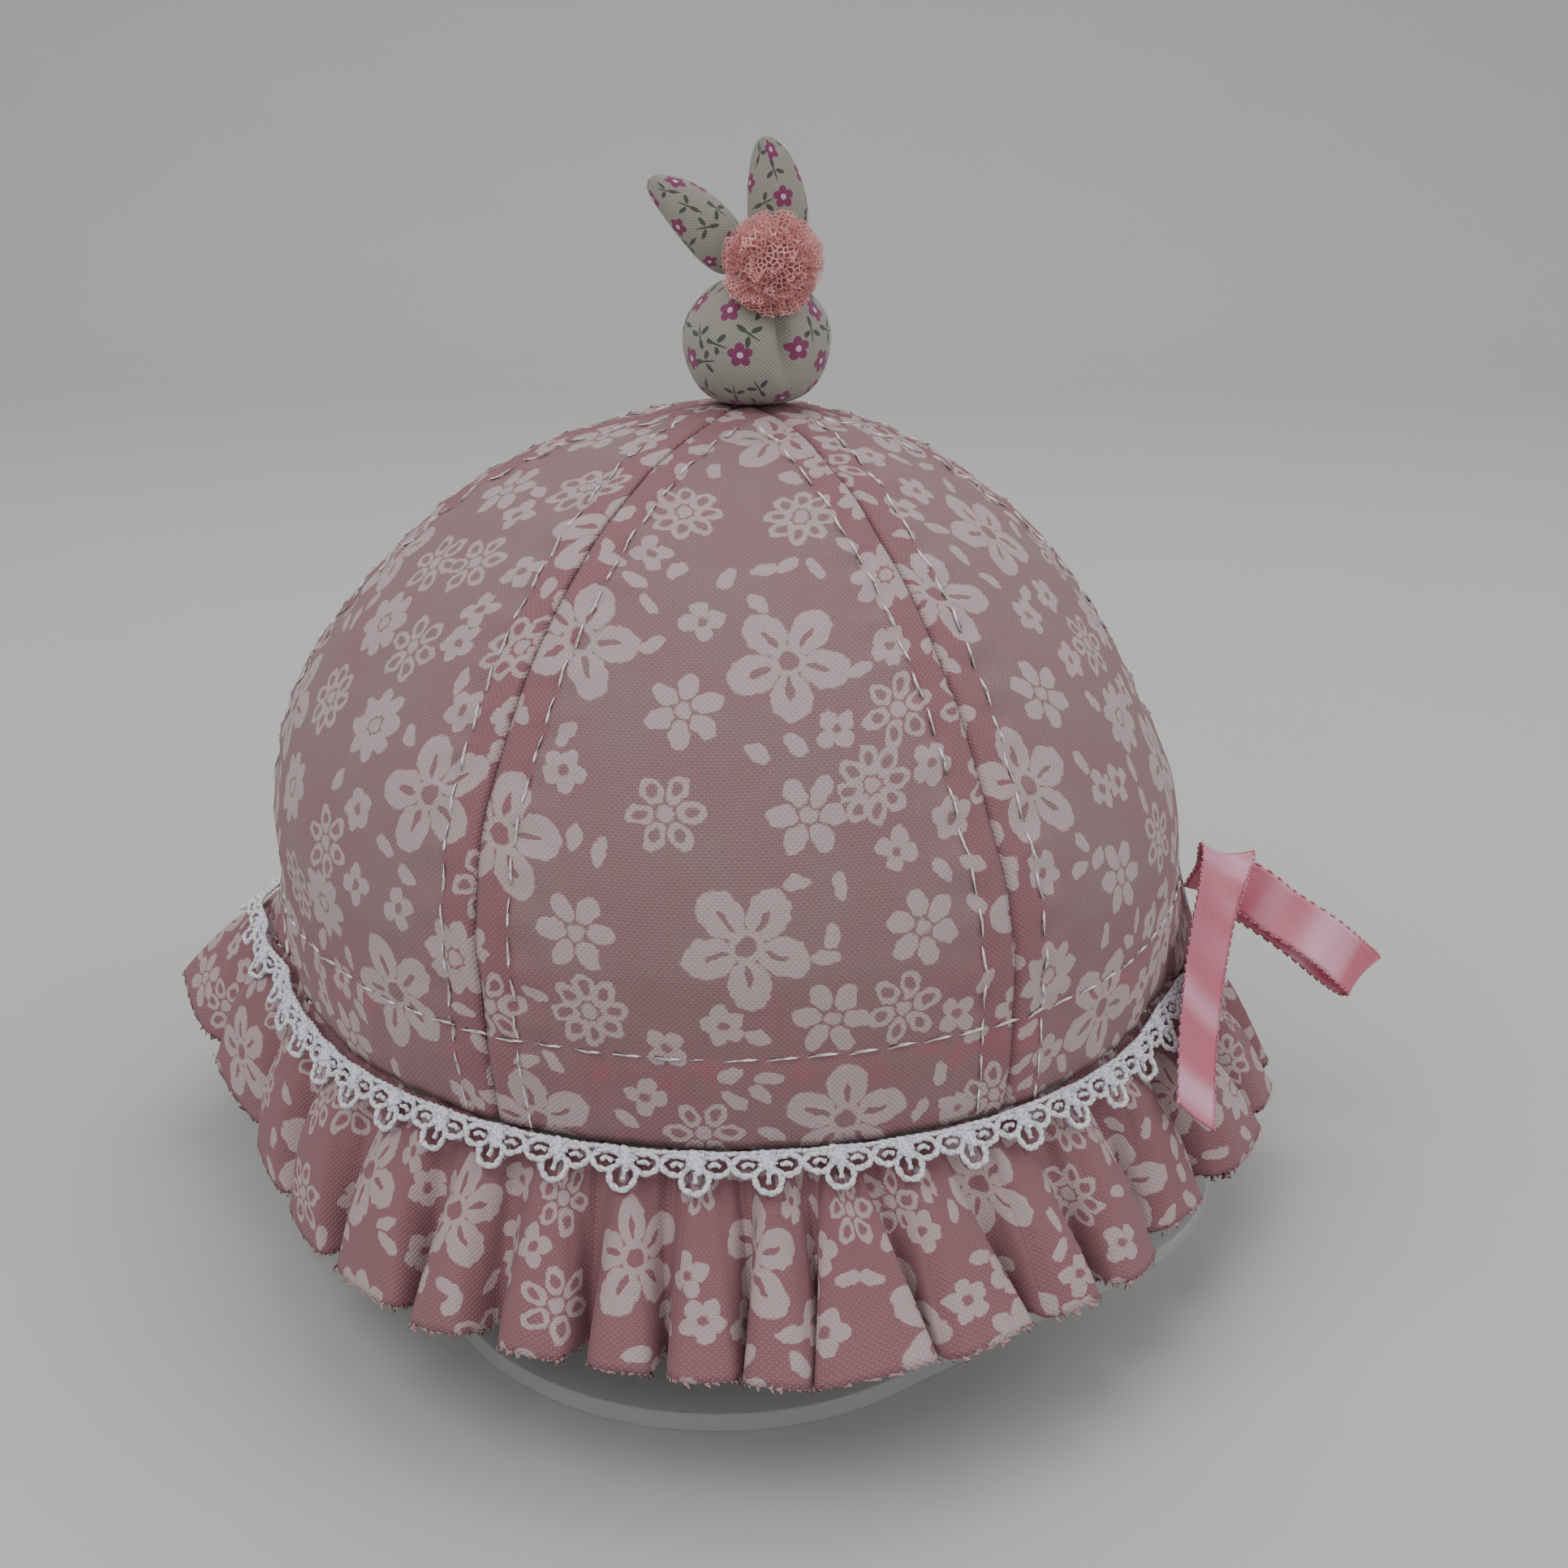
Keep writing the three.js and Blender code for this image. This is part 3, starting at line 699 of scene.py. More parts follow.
    def _big(self, paint: Paint, spot: Spot) -> Number:
        """Draws a large flower of broad petals, each with a slit, round an open middle.

        Args:
            paint: The material in the making.
            spot: The flower's spot.

        Returns:
            1 where it is printed.
        """
        radius = self.big.radius
        petals = petals_of(paint, spot, self.big.petals)
        filled = 1 - petals.oval(0.6 * radius, 0.41 * radius, 0.325 * radius).step(0.86, 1.06)
        slit = 1 - petals.oval(0.47 * radius, 0.2 * radius, 0.055 * radius).step(0.7, 1.2)
        off_ring = (petals.radius - 0.215 * radius).math("ABSOLUTE")
        ring = 1 - off_ring.step(0.03 * radius, 0.07 * radius)
        return (filled * (1 - slit)).math("MAXIMUM", ring)

    def _outlined(self, paint: Paint, spot: Spot) -> Number:
        """Draws a middling flower in outline, some with their petals filled.

        Args:
            paint: The material in the making.
            spot: The flower's spot.

        Returns:
            1 where it is printed.
        """
        radius = self.middling.radius
        count = spot.chance[1].math("GREATER_THAN", 0.5) * 2 + self.middling.petals
        petals = petals_of(paint, spot, count)
        rim = petals.oval(0.62 * radius, 0.38 * radius, 0.26 * radius)
        filled = 1 - rim.step(0.8, 1.08)
        hollow = (1 - rim.step(0.14, 0.34)) * spot.chance[2].math("GREATER_THAN", 0.35)
        middle = 1 - petals.radius.step(0.16 * radius, 0.24 * radius)
        return (filled * (1 - hollow)).math("MAXIMUM", middle)

    def _filled(self, paint: Paint, spot: Spot) -> Number:
        """Draws a small flower with filled petals and a dark eye.

        Args:
            paint: The material in the making.
            spot: The flower's spot.

        Returns:
            1 where it is printed.
        """
        radius = self.small.radius
        count = spot.chance[1].math("GREATER_THAN", 0.5) + (self.small.petals - 1)
        petals = petals_of(paint, spot, count)
        filled = 1 - petals.oval(0.56 * radius, 0.44 * radius, 0.4 * radius).step(0.8, 1.1)
        eye = 1 - petals.radius.step(0.16 * radius, 0.3 * radius)
        return filled * (1 - eye)

    def _leaf(self, paint: Paint, spot: Spot) -> Number:
        """A small leaf turned any way."""
        petals = petals_of(paint, spot, 1.0)
        return 1 - petals.oval(0.0, self.leaf.radius, 1.05).step(0.75, 1.1)


@dataclass(frozen=True)
class Thread:
    """Cotton thread, plain or twisted."""

    name: str
    colour: Colour
    shade: Colour
    pitch: float = 0.35

    def material(self) -> bpy.types.Material:
        """Makes the thread's material.

        Returns:
            The material, fuzzy and a little uneven.
        """
        paint = Paint(self.name)
        at = paint.solid()
        fuzz = paint.noise(at, self.pitch, 3.0)
        colour = paint.mix(fuzz.step(0.35, 0.6), self.shade, self.colour)
        return paint.finish(colour, 0.8, fuzz, 0.03)


@dataclass(frozen=True)
class Satin:
    """Pink satin ribbon: long floats across a fine ground, with painted highlight bands."""

    name: str = "satin"
    pink: Colour = (0.50, 0.105, 0.16)
    pale: Colour = (0.66, 0.2, 0.29)
    # painted highlight: the pale lilac colour of the satin's sheen, painted in bands
    painted_highlight: Colour = (0.88, 0.56, 0.74)

    def material(self) -> bpy.types.Material:
        """Makes the ribbon's material.

        Returns:
            The material, with its ribs, floats and painted highlight bands.
        """
        paint = Paint(self.name)
        at = paint.flat("cloth")
        floats = paint.noise(paint.stretched(at, (7.0, 0.35, 1.0)), 1.0, 2.0)
        ribs = (paint.split(at)[0] * (TAU / 0.28)).math("SINE") * 0.5 + 0.5
        # Broad noise bands across the ribbon carry a painted highlight: faintly in the pink's mix,
        # strongly where they peak.
        soft = paint.noise(paint.stretched(at, (0.1, 1.0, 1.0)), 13.0, 1.0)
        colour = paint.mix(floats.step(0.3, 0.7) * 0.3 + soft * 0.1, self.pink, self.pale)
        colour = paint.mix(soft.step(0.47, 0.66) * 0.6, colour, self.painted_highlight)
        height = floats * 0.7 + ribs * 0.3
        return paint.finish(colour, 0.3, height, 0.03, Anisotropic=0.5, Specular_IOR_Level=0.7)


@dataclass(frozen=True)
class SprigCotton:
    """Cream cotton with small magenta flowers and dark leaf sprigs."""

    name: str = "sprig_cotton"
    cream: Colour = (0.40, 0.38, 0.335)
    shade: Colour = (0.25, 0.235, 0.2)
    magenta: Colour = (0.20, 0.02, 0.10)
    eye: Colour = (0.60, 0.46, 0.52)
    green: Colour = (0.035, 0.055, 0.035)
    navy: Colour = (0.03, 0.032, 0.05)
    flower: Bloom = Bloom(7.8, 0.6, 1.9, 5.0, (2.6, 5.2, 0.0))
    sprig: Bloom = Bloom(4.3, 0.6, 2.6, 2.0, (11.0, 3.0, 0.0))
    sprig_room: float = 2.9

    def material(self) -> bpy.types.Material:
        """Makes the rabbit's cloth.

        Returns:
            The material, with its weave, flowers and sprigs.
        """
        paint = Paint(self.name)
        at = paint.flat("cloth")
        over, opening = Weave(pitch=0.3).threads(paint)
        base = paint.mix(over.step(0.3, 0.75) * 0.6, self.shade, self.cream)
        base = paint.mix(opening.step(0.4, 0.95) * 0.5, base, self.shade)
        flower = scatter(paint, at, self.flower)
        petals = petals_of(paint, flower, self.flower.petals)
        bloom = 1 - petals.oval(0.95, 0.8, 0.66).step(0.8, 1.1)
        centre = 1 - petals.radius.step(0.35, 0.5)
        sprig = scatter(paint, at, self.sprig)
        near = scatter(paint, sprig.middle, self.flower)
        clear = near.away.math("GREATER_THAN", self.sprig_room)
        stem = petals_of(paint, sprig, 1.0)
        leaves = 1 - petals_of(paint, sprig, 3.0).oval(1.15, 0.8, 0.36).step(0.8, 1.1)
        stalk = 1 - stem.oval(0.5, 2.4, 0.16).step(0.8, 1.1)
        sprigs = leaves.math("MAXIMUM", stalk) * clear
        dark = paint.mix(sprig.chance[1].math("GREATER_THAN", 0.72), self.green, self.navy)
        colour = paint.mix(sprigs * 0.9, base, dark)
        colour = paint.mix(bloom * 0.94, colour, self.magenta)
        colour = paint.mix(centre, colour, self.eye)
        return paint.finish(colour, 0.85, over * 0.8 - opening * 0.4, 0.1, Sheen_Weight=0.15)


@dataclass(frozen=True)
class Net:
    """Fine pink net: six-sided holes between threads."""

    name: str = "net"
    pink: Colour = (0.80, 0.36, 0.345)
    shade: Colour = (0.46, 0.15, 0.145)
    hole: float = 0.75
    see_through: float = 0.3

    def material(self) -> bpy.types.Material:
        """Makes the net's material.

        Returns:
            The material, with holes that let light through.
        """
        paint = Paint(self.name)
        at = paint.flat("cloth")
        scaled = paint.vector("SCALE", {0: at, "Scale": 1 / self.hole})
        cells = paint.node(
            "ShaderNodeTexVoronoi",
            {"voronoi_dimensions": "2D", "feature": "DISTANCE_TO_EDGE"},
            {"Vector": scaled, "Scale": 1.0, "Randomness": 0.75},
        )
        thread = 1 - Number(paint, cells.outputs["Distance"]).step(0.1, 0.24)
        colour = paint.mix(thread, self.shade, self.pink)
        paint.feed(paint.shader.inputs["Alpha"], thread * (1 - self.see_through) + self.see_through)
        return paint.finish(colour, 0.6, thread, 0.1, Sheen_Weight=0.4)


@dataclass(frozen=True)
class ClearPlastic:
    """Clear polished acrylic, thin enough to show what lies behind it."""

    name: str = "clear_plastic"
    tint: Colour = (0.72, 0.74, 0.73)
    cover: float = 0.2

    def material(self) -> bpy.types.Material:
        """Makes the plastic's material.

        Returns:
            The material, clear, with a denser look at its edges.
        """
        paint = Paint(self.name)
        scuffs = paint.noise(paint.solid(), 30.0, 4.0)
        facing = paint.node("ShaderNodeLayerWeight", {}, {"Blend": 0.35}).outputs["Facing"]
        edge = Number(paint, facing).step(0.4, 1.0)
        paint.feed(paint.shader.inputs["Alpha"], edge * 0.3 + self.cover)
        return paint.finish(self.tint, scuffs * 0.1 + 0.14, Specular_IOR_Level=0.4)


@dataclass(frozen=True)
class Plain:
    """A plain matt surface for the studio."""

    name: str
    colour: Colour

    def material(self) -> bpy.types.Material:
        """Makes the surface's material.

        Returns:
            The material, faintly mottled.
        """
        paint = Paint(self.name)
        mottle = paint.noise(paint.solid(), 60.0, 2.0)
        darker = tuple(part * 0.97 for part in self.colour)
        return paint.finish(paint.mix(mottle, darker, self.colour), 0.7)


class Finish(Enum):
    """The finishes that the pieces wear."""

    PRINT = PrintedLawn()
    STITCH = Thread("stitch_thread", (0.92, 0.86, 0.87), (0.80, 0.70, 0.72), 0.6)
    LACE = Thread("lace_thread", (0.88, 0.89, 0.95), (0.50, 0.49, 0.54))
    FRAY = Thread("frayed_thread", (0.46, 0.27, 0.29), (0.32, 0.16, 0.17))
    PICOT = Thread("ribbon_edge", (0.82, 0.38, 0.47), (0.55, 0.17, 0.23))
    SATIN = Satin()
    SPRIG = SprigCotton()
    NET = Net()
    CLEAR = ClearPlastic()
    FLOOR = Plain("floor", (0.53, 0.535, 0.52))

    def material(self) -> bpy.types.Material:
        """The finish's material, made when it is first asked for."""
        return bpy.data.materials.get(self.value.name) or self.value.material()


# ---------------------------------------------------------------- making meshes


@dataclass(frozen=True)
class Grid:
    """How finely a sheet is divided, and whether its two ends meet."""

    columns: int
    rows: int
    closed: bool = False


def place_mesh(mesh: bmesh.types.BMesh, name: str, finish: Finish) -> bpy.types.Object:
    """Turns a finished bmesh into an object at the origin.

    Args:
        mesh: The bmesh, in the row's frame, in metres.
        name: The object's name.
        finish: What it wears.

    Returns:
        The object, smooth and dressed.
    """
    for face in mesh.faces:
        face.smooth = True
    data = bpy.data.meshes.new(name)
    mesh.to_mesh(data)
    mesh.free()
    data.materials.append(finish.material())
    made = bpy.data.objects.new(name, data)
    bpy.context.scene.collection.objects.link(made)
    return made


def cloth_layers(mesh: bmesh.types.BMesh) -> list[Any]:
    """Adds the two UV maps that the cloths read, and returns them."""
    return [mesh.loops.layers.uv.new(layer) for layer in LAYERS]


def lay_sheet(
    name: str, grid: Grid, place: Place, flat: Pair, sewn: Pair, finish: Finish
) -> bpy.types.Object:
    """Lays a sheet: a grid whose points move to where the cloth is.

    Args:
        name: The object's name.
        grid: Its divisions.
        place: The point, in millimetres, of a share across and a share up.
        flat: The same place in the flat cloth, in millimetres.
        sewn: Its distance from the nearest seam, and its height along the cloth.
        finish: What it wears.

    Returns:
        The sheet.
    """
    mesh = bmesh.new()
    bmesh.ops.create_grid(mesh, x_segments=grid.columns, y_segments=grid.rows, size=0.5)
    layers = cloth_layers(mesh)
    sides = [[vert.co[axis] for vert in mesh.verts] for axis in (0, 1)]
    low = [min(side) for side in sides]
    span = [max(side) - min(side) for side in sides]
    spots = {
        vert: ((vert.co.x - low[0]) / span[0], (vert.co.y - low[1]) / span[1])
        for vert in mesh.verts
    }
    for face in mesh.faces:
        for loop in face.loops:
            spot = spots[loop.vert]
            loop[layers[0]].uv = Vector(flat(*spot)) / UV_MM
            loop[layers[1]].uv = Vector(sewn(*spot)) / UV_MM
    for vert, spot in spots.items():
        vert.co = to_row(place(*spot))
    if grid.closed:
        bmesh.ops.remove_doubles(mesh, verts=mesh.verts[:], dist=LEVEL)
    return place_mesh(mesh, name, finish)


def thicken(sheet: bpy.types.Object, thickness: float, offset: float = -1.0) -> None:
    """Gives a sheet its thickness.

    Args:
        sheet: The sheet.
        thickness: How thick it becomes, in millimetres.
        offset: -1 to grow inwards from its outer face, 0 to both sides.
    """
    solid = sheet.modifiers.new("cloth", "SOLIDIFY")
    solid.thickness = thickness * MM
    solid.offset = offset


def soften_rims(mesh: bmesh.types.BMesh, width: float) -> None:
    """Bevels the level edges of an upright shape.

    Args:
        mesh: The shape, in millimetres.
        width: The bevel's width.
    """
    rims = [edge for edge in mesh.edges if abs(edge.verts[0].co.z - edge.verts[1].co.z) < LEVEL]
    bmesh.ops.bevel(
        mesh, geom=rims, offset=width, segments=2, profile=0.5, affect="EDGES", material=-1
    )


def flatten_caps(piece: bpy.types.Object) -> bpy.types.Object:
    """Shades a piece's many-sided faces flat.

    Args:
        piece: The piece.

    Returns:
        The piece.
    """
    for polygon in piece.data.polygons:
        polygon.use_smooth = len(polygon.vertices) == 4
    return piece


def attach(piece: bpy.types.Object, slot: str, *nodes: str) -> bpy.types.Object:
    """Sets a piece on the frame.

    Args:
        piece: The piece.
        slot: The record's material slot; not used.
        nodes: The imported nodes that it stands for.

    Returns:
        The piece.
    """
    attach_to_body(piece, "root")
    if nodes:
        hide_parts(*nodes)
    LOG.info("%s: %d faces", piece.name, len(piece.data.polygons))
    return piece


def frame_at(
    point: Vector, along: Vector, off: Vector, sizes: tuple[float, float, float]
) -> Matrix:
    """A matrix that lays a small shape on a surface.

    Args:
        point: Where it lies, in millimetres.
        along: The way its X side runs.
        off: Roughly the way off the surface.
        sizes: Its half sizes along, aside and off, in millimetres.

    Returns:
        The matrix in the row's frame, in metres.
    """
    first = along.normalized()
    second = off.cross(first).normalized()
    third = first.cross(second)
    turn = Matrix((first, second, third)).transposed().to_4x4()
    scale = Matrix.Diagonal((*(size * MM for size in sizes), 1.0))
    return Matrix.Translation(to_row(point)) @ turn @ scale


def strew_balls(places: Sequence[Matrix], sides: int, rings: int) -> bmesh.types.BMesh:
    """Makes one small ball at each place.

    Args:
        places: Where each ball lies, how it is turned and how large it is.
        sides: A ball's sides.
        rings: Its rings.

    Returns:
        The bmesh of all balls.
    """
    mesh = bmesh.new()
    bmesh.ops.create_uvsphere(mesh, u_segments=sides, v_segments=rings, radius=1.0)
    each = len(mesh.verts)
    while len(mesh.verts) < each * len(places):
        bmesh.ops.duplicate(mesh, geom=[*mesh.verts, *mesh.edges, *mesh.faces])
    mesh.verts.ensure_lookup_table()
    extra = mesh.verts[each * len(places) :]
    bmesh.ops.delete(mesh, geom=extra, context="VERTS")
    for number, vert in enumerate(mesh.verts):
        vert.co = places[number // each] @ vert.co
    return mesh


@dataclass
class Cording:
    """Twisted threads laid along lines and joined into one mesh."""

    name: str
    finish: Finish
    radius: float
    twist: float = 2.6
    spacing: float = 0.34
    unevenness: float = 0.14
    corners: int = 8
    paths: list[tuple[list[Vector], float]] = field(default_factory=list)

    def lay(self, points: Sequence[Vector], place: Callable[[Vector], Vector], grow: float) -> None:
        """Adds a thread.

        Args:
            points: The points that it passes, flat.
            place: Where a flat point goes, in the bonnet's frame.
            grow: Its size as a share of the usual.
        """
        line = Curve(points)
        self.paths.append(([place(line.at(share)) for share in line.steps(self.spacing)], grow))

    def make(self) -> bpy.types.Object:
        """Makes the mesh of all threads.

        Returns:
            The threads as one object.
        """
        profile = self._profile()
        data = bpy.data.curves.new(self.name, "CURVE")
        data.dimensions = "3D"
        data.bevel_mode = "OBJECT"
        data.bevel_object = profile
        data.use_fill_caps = True
        for points, grow in self.paths:
            spline = data.splines.new("POLY")
            spline.points.add(len(points) - 1)
            for number, (target, point) in enumerate(zip(spline.points, points)):
                target.co = (*to_row(point), 1.0)
                target.radius = grow * (1 + self.unevenness * noise.noise(point * 1.7))
                target.tilt = number * self.spacing * TAU / self.twist
        guide = bpy.data.objects.new(self.name, data)
        bpy.context.scene.collection.objects.link(guide)
        bpy.context.view_layer.update()
        shaped = guide.evaluated_get(bpy.context.evaluated_depsgraph_get())
        mesh = bmesh.new()
        mesh.from_mesh(bpy.data.meshes.new_from_object(shaped))
        bpy.data.objects.remove(guide)
        bpy.data.objects.remove(profile)
        bmesh.ops.recalc_face_normals(mesh, faces=mesh.faces[:])
        return place_mesh(mesh, self.name, self.finish)

    def _profile(self) -> bpy.types.Object:
        """Makes the cross-section of two threads side by side.

        Returns:
            The outline that the threads follow.
        """
        data = bpy.data.curves.new(self.name + "_profile", "CURVE")
        data.dimensions = "2D"
        spline = data.splines.new("POLY")
        spline.use_cyclic_u = True
        spline.points.add(self.corners - 1)
        for number, target in enumerate(spline.points):
            angle = TAU * number / self.corners
            reach = self.radius * MM * (0.66 + 0.4 * abs(math.cos(angle)))
            target.co = (reach * math.cos(angle), reach * math.sin(angle), 0.0, 1.0)
        made = bpy.data.objects.new(self.name + "_profile", data)
        bpy.context.scene.collection.objects.link(made)
        return made


# ---------------------------------------------------------------- shapes


@dataclass(frozen=True)
class CrownShape:
    """The crown's outer surface, as packed: a straight skirt under a domed cap."""

    panels: int = 6
    radius: float = 73.0
    edge_radius: float = 70.85
    skirt_height: float = 25.8
    height: float = 89.15
    cap_rise: float = 1.57
    cap_round: float = 2.02
    skirt_share: float = 0.2
    seam_turn: float = 2.83
    lip_height: float = 28.0
    lean: Table = (
        (0, 0.5), (20, 0), (30, -0.8), (45, -1.6),
        (60, -1.2), (75, -0.3), (83, 0.7), (89, POST_LEAN),
    )
    lip: Table = (
        (-180, 7, 1), (-130, 9, 1), (-100, 11, 0.5), (-91, 6.5, 0), (-78, 1, 0), (-60, 0, 0),
        (66, 0, 0), (75, 1.5, 0.5), (82, 4.5, 1.5), (91, 9, 3.5), (102, 10.5, 4), (140, 9, 2),
        (180, 7, 1),
    )

    def profile(self, share: float) -> tuple[float, float]:
        """Reads the crown's outline.

        Args:
            share: The share of the way from the edge to the top.

        Returns:
            The radius and the height there.
        """
        if share < self.skirt_share:
            rise = share / self.skirt_share
            swell = 1 - (1 - rise) ** 2
            radius = self.edge_radius + (self.radius - self.edge_radius) * swell
            return radius, self.skirt_height * rise
        angle = (share - self.skirt_share) / (1 - self.skirt_share) * math.pi / 2
        climb = self.height - self.skirt_height
        radius = self.radius * max(math.cos(angle), 0.0) ** (2 / self.cap_round)
        return radius, self.skirt_height + climb * math.sin(angle) ** (2 / self.cap_rise)

    def point(self, azimuth: float, share: float) -> Vector:
        """Finds a point of the surface.

        Args:
            azimuth: The azimuth.
            share: The share of the way from the edge to the top.

        Returns:
            The point.
        """
        radius, height = self.profile(share)
        around = wrap(azimuth)
        fade = min(max(1 - height / self.lip_height, 0.0), 1.0) ** 2
        out = outward(azimuth) * (radius + read_table(self.lip, around) * fade)
        out.z = height - read_table(self.lip, around, 2) * fade
        out.x += read_table(self.lean, height)
        return out

    def surface(self, azimuth: float, share: float) -> tuple[Vector, Vector]:
        """Finds a point of the surface and how it faces.

        Args:
            azimuth: The azimuth.
            share: The share of the way from the edge to the top.

        Returns:
            The point and the direction off it.
        """
        around = self.point(azimuth + 0.4, share) - self.point(azimuth - 0.4, share)
        up = self.point(azimuth, min(share + 0.004, 0.998)) - self.point(azimuth, share - 0.004)
        return self.point(azimuth, share), around.cross(up).normalized()

    def edge(self, azimuth: float) -> tuple[Vector, Vector]:
        """The edge at an azimuth and the way its cloth runs down."""
        point = self.point(azimuth, 0.0)
        return point, (point - self.point(azimuth, 0.01)).normalized()

    def share_where(self, test: Callable[[float, float], bool]) -> float:
        """Finds where on the outline a test starts to hold.

        Args:
            test: A test of the radius and the height, false at the edge and true at the top.

        Returns:
            The lowest share at which it holds.
        """
        low, high = 0.0, 1.0
        for _ in range(30):
            middle = (low + high) / 2
            if test(*self.profile(middle)):
                high = middle
            else:
                low = middle
        return high

    def climbs(self, count: int = 400) -> list[float]:
        """The way along the surface from the edge, at a count of even shares."""
        return run_lengths([Vector(self.profile(index / count)) for index in range(count + 1)])

    def seam_distance(self, azimuth: float, share: float) -> float:
        """Measures the way across the cloth to the nearest seam.

        Args:
            azimuth: The azimuth.
            share: The share of the way from the edge to the top.

        Returns:
            The way, in millimetres.
        """
        width = 360 / self.panels
        aside = (azimuth - self.seam_turn - width / 2) % width
        return self.profile(share)[0] * math.radians(min(aside, width - aside))


@dataclass(frozen=True)
class RuffleShape:
    """The ruffle's folds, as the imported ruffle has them."""

    crown: CrownShape
    crest: float = 2.3
    valley: float = 2.6
    bulge: float = 1.5
    top_drop: float = 0.75
    wave: float = 0.35
    cloth: float = 1.0
    tension: float = 0.35
    hem: Table = (
        (-180, 94, -22), (-130, 97, -21), (-104, 101.3, -20.2), (-92, 88.5, -23.5),
        (-84, 79.5, -26), (-72, 77, -27), (-57, 76.5, -27), (-44, 80.5, -26), (-35, 83.5, -24.5),
        (-27, 85, -24), (-15, 85.8, -23.3), (0, 87.2, -23.5), (10, 89.4, -24), (18, 87.2, -23.5),
        (29, 84.2, -24), (38, 84.5, -24), (53, 79, -26), (73, 85.7, -24), (91, 90, -26),
        (130, 95, -24), (180, 94, -22),
    )
    folds: Table = (
        (-104, -94, -92), (-90, -77, -75.5), (-74, -61.5, -60), (-58.5, -47, -45.5),
        (-44, -32.8, -31.6), (-30.5, -25, -23), (-21, -15, -13.6), (-12.2, -7.2, -6.2),
        (-5.2, 0, 2), (1, 6, 8.5), (7, 17.5, 15.8), (19, 28, 26.6), (30, 36, 37.5), (39, 47, 49),
        (51, 60, 62), (64, 74, 76), (78, 86, 88),
    )
    back_folds: int = 14

    def all_folds(self) -> list[tuple[float, float, float]]:
        """Lists the folds of the table and the even ones at the back.

        Returns:
            The azimuths of each fold's start, end and valley.
        """
        folds = list(self.folds)
        start = folds[-1][2]
        pitch = (folds[0][0] + 358 - start) / self.back_folds
        for index in range(self.back_folds):
            sway = 0.08 * math.sin(2.3 * index)
            marks = (index + 0.2 + sway, index + 0.78 + sway, index + 0.97)
            folds.append(tuple(start + pitch * mark for mark in marks))
        return folds

    def hem_point(self, azimuth: float, out: float) -> Vector:
        """Finds a point of the hem.

        Args:
            azimuth: The azimuth.
            out: How far it stands out from the hem's middle line.

        Returns:
            The point.
        """
        around = wrap(azimuth)
        point = outward(azimuth) * (read_table(self.hem, around) + out)
        point.x += read_table(self.crown.lean, 0.0)
        point.z = read_table(self.hem, around, 2)
        return point

    def top_point(self, azimuth: float, wave: float) -> Vector:
        """A point of the gathered edge, just under the crown's own."""
        point, down = self.crown.edge(azimuth)
        return point + down * self.top_drop + outward(azimuth) * (wave - self.cloth / 2)

    def edges(self) -> tuple[Curve, Curve]:
        """Draws both edges, with four points to a fold.

        Returns:
            The hem and the gathered edge.
        """
        folds = self.all_folds()
        hem, top = [], []
        for index, (begin, end, valley) in enumerate(folds):
            after = folds[(index + 1) % len(folds)][0] + (360 if index + 1 == len(folds) else 0)
            before = folds[index - 1][2] - (360 if index == 0 else 0)
            turn = valley + (max(after, valley) - valley) * 0.45
            corners = (
                (begin, self.crest),
                (end, self.crest),
                (valley, -self.valley),
                (turn, -self.valley),
            )
            for number, (azimuth, out) in enumerate(corners):
                hem.append(self.hem_point(azimuth, out))
                share = (number + 1) / len(corners)
                wave = math.copysign(self.wave, out)
                top.append(self.top_point(before + (valley - before) * share, wave))
        return Curve(hem, True, self.tension), Curve(top, True, self.tension)

    def hang(self, azimuth: float) -> tuple[Vector, Vector, float, Vector]:
        """Finds how the cloth hangs.

        Args:
            azimuth: The azimuth.

        Returns:
            Its top, the way down, its length and the way off its face.
        """
        top = self.top_point(azimuth, 0.0)
        run = self.hem_point(azimuth, 0.0) - top
        down = run.normalized()
        across = Vector((0, 0, 1)).cross(outward(azimuth))
        return top, down, run.length, down.cross(across)


# ---------------------------------------------------------------- sub-assemblies


@dataclass(frozen=True)
class SewnRelief:
    """How far seams, stitches, gathers and dents move the crown's cloth, in millimetres."""

    doubled: float = 0.28
    groove: float = 0.55
    stitched: float = 0.26
    hem: float = 0.2
    hem_line: float = 0.3
    pucker: float = 0.32
    pucker_pitch: float = 7.3
    gathers: float = 0.42
    dents: float = 0.9
    creases: float = 0.3
    sink: float = 0.15


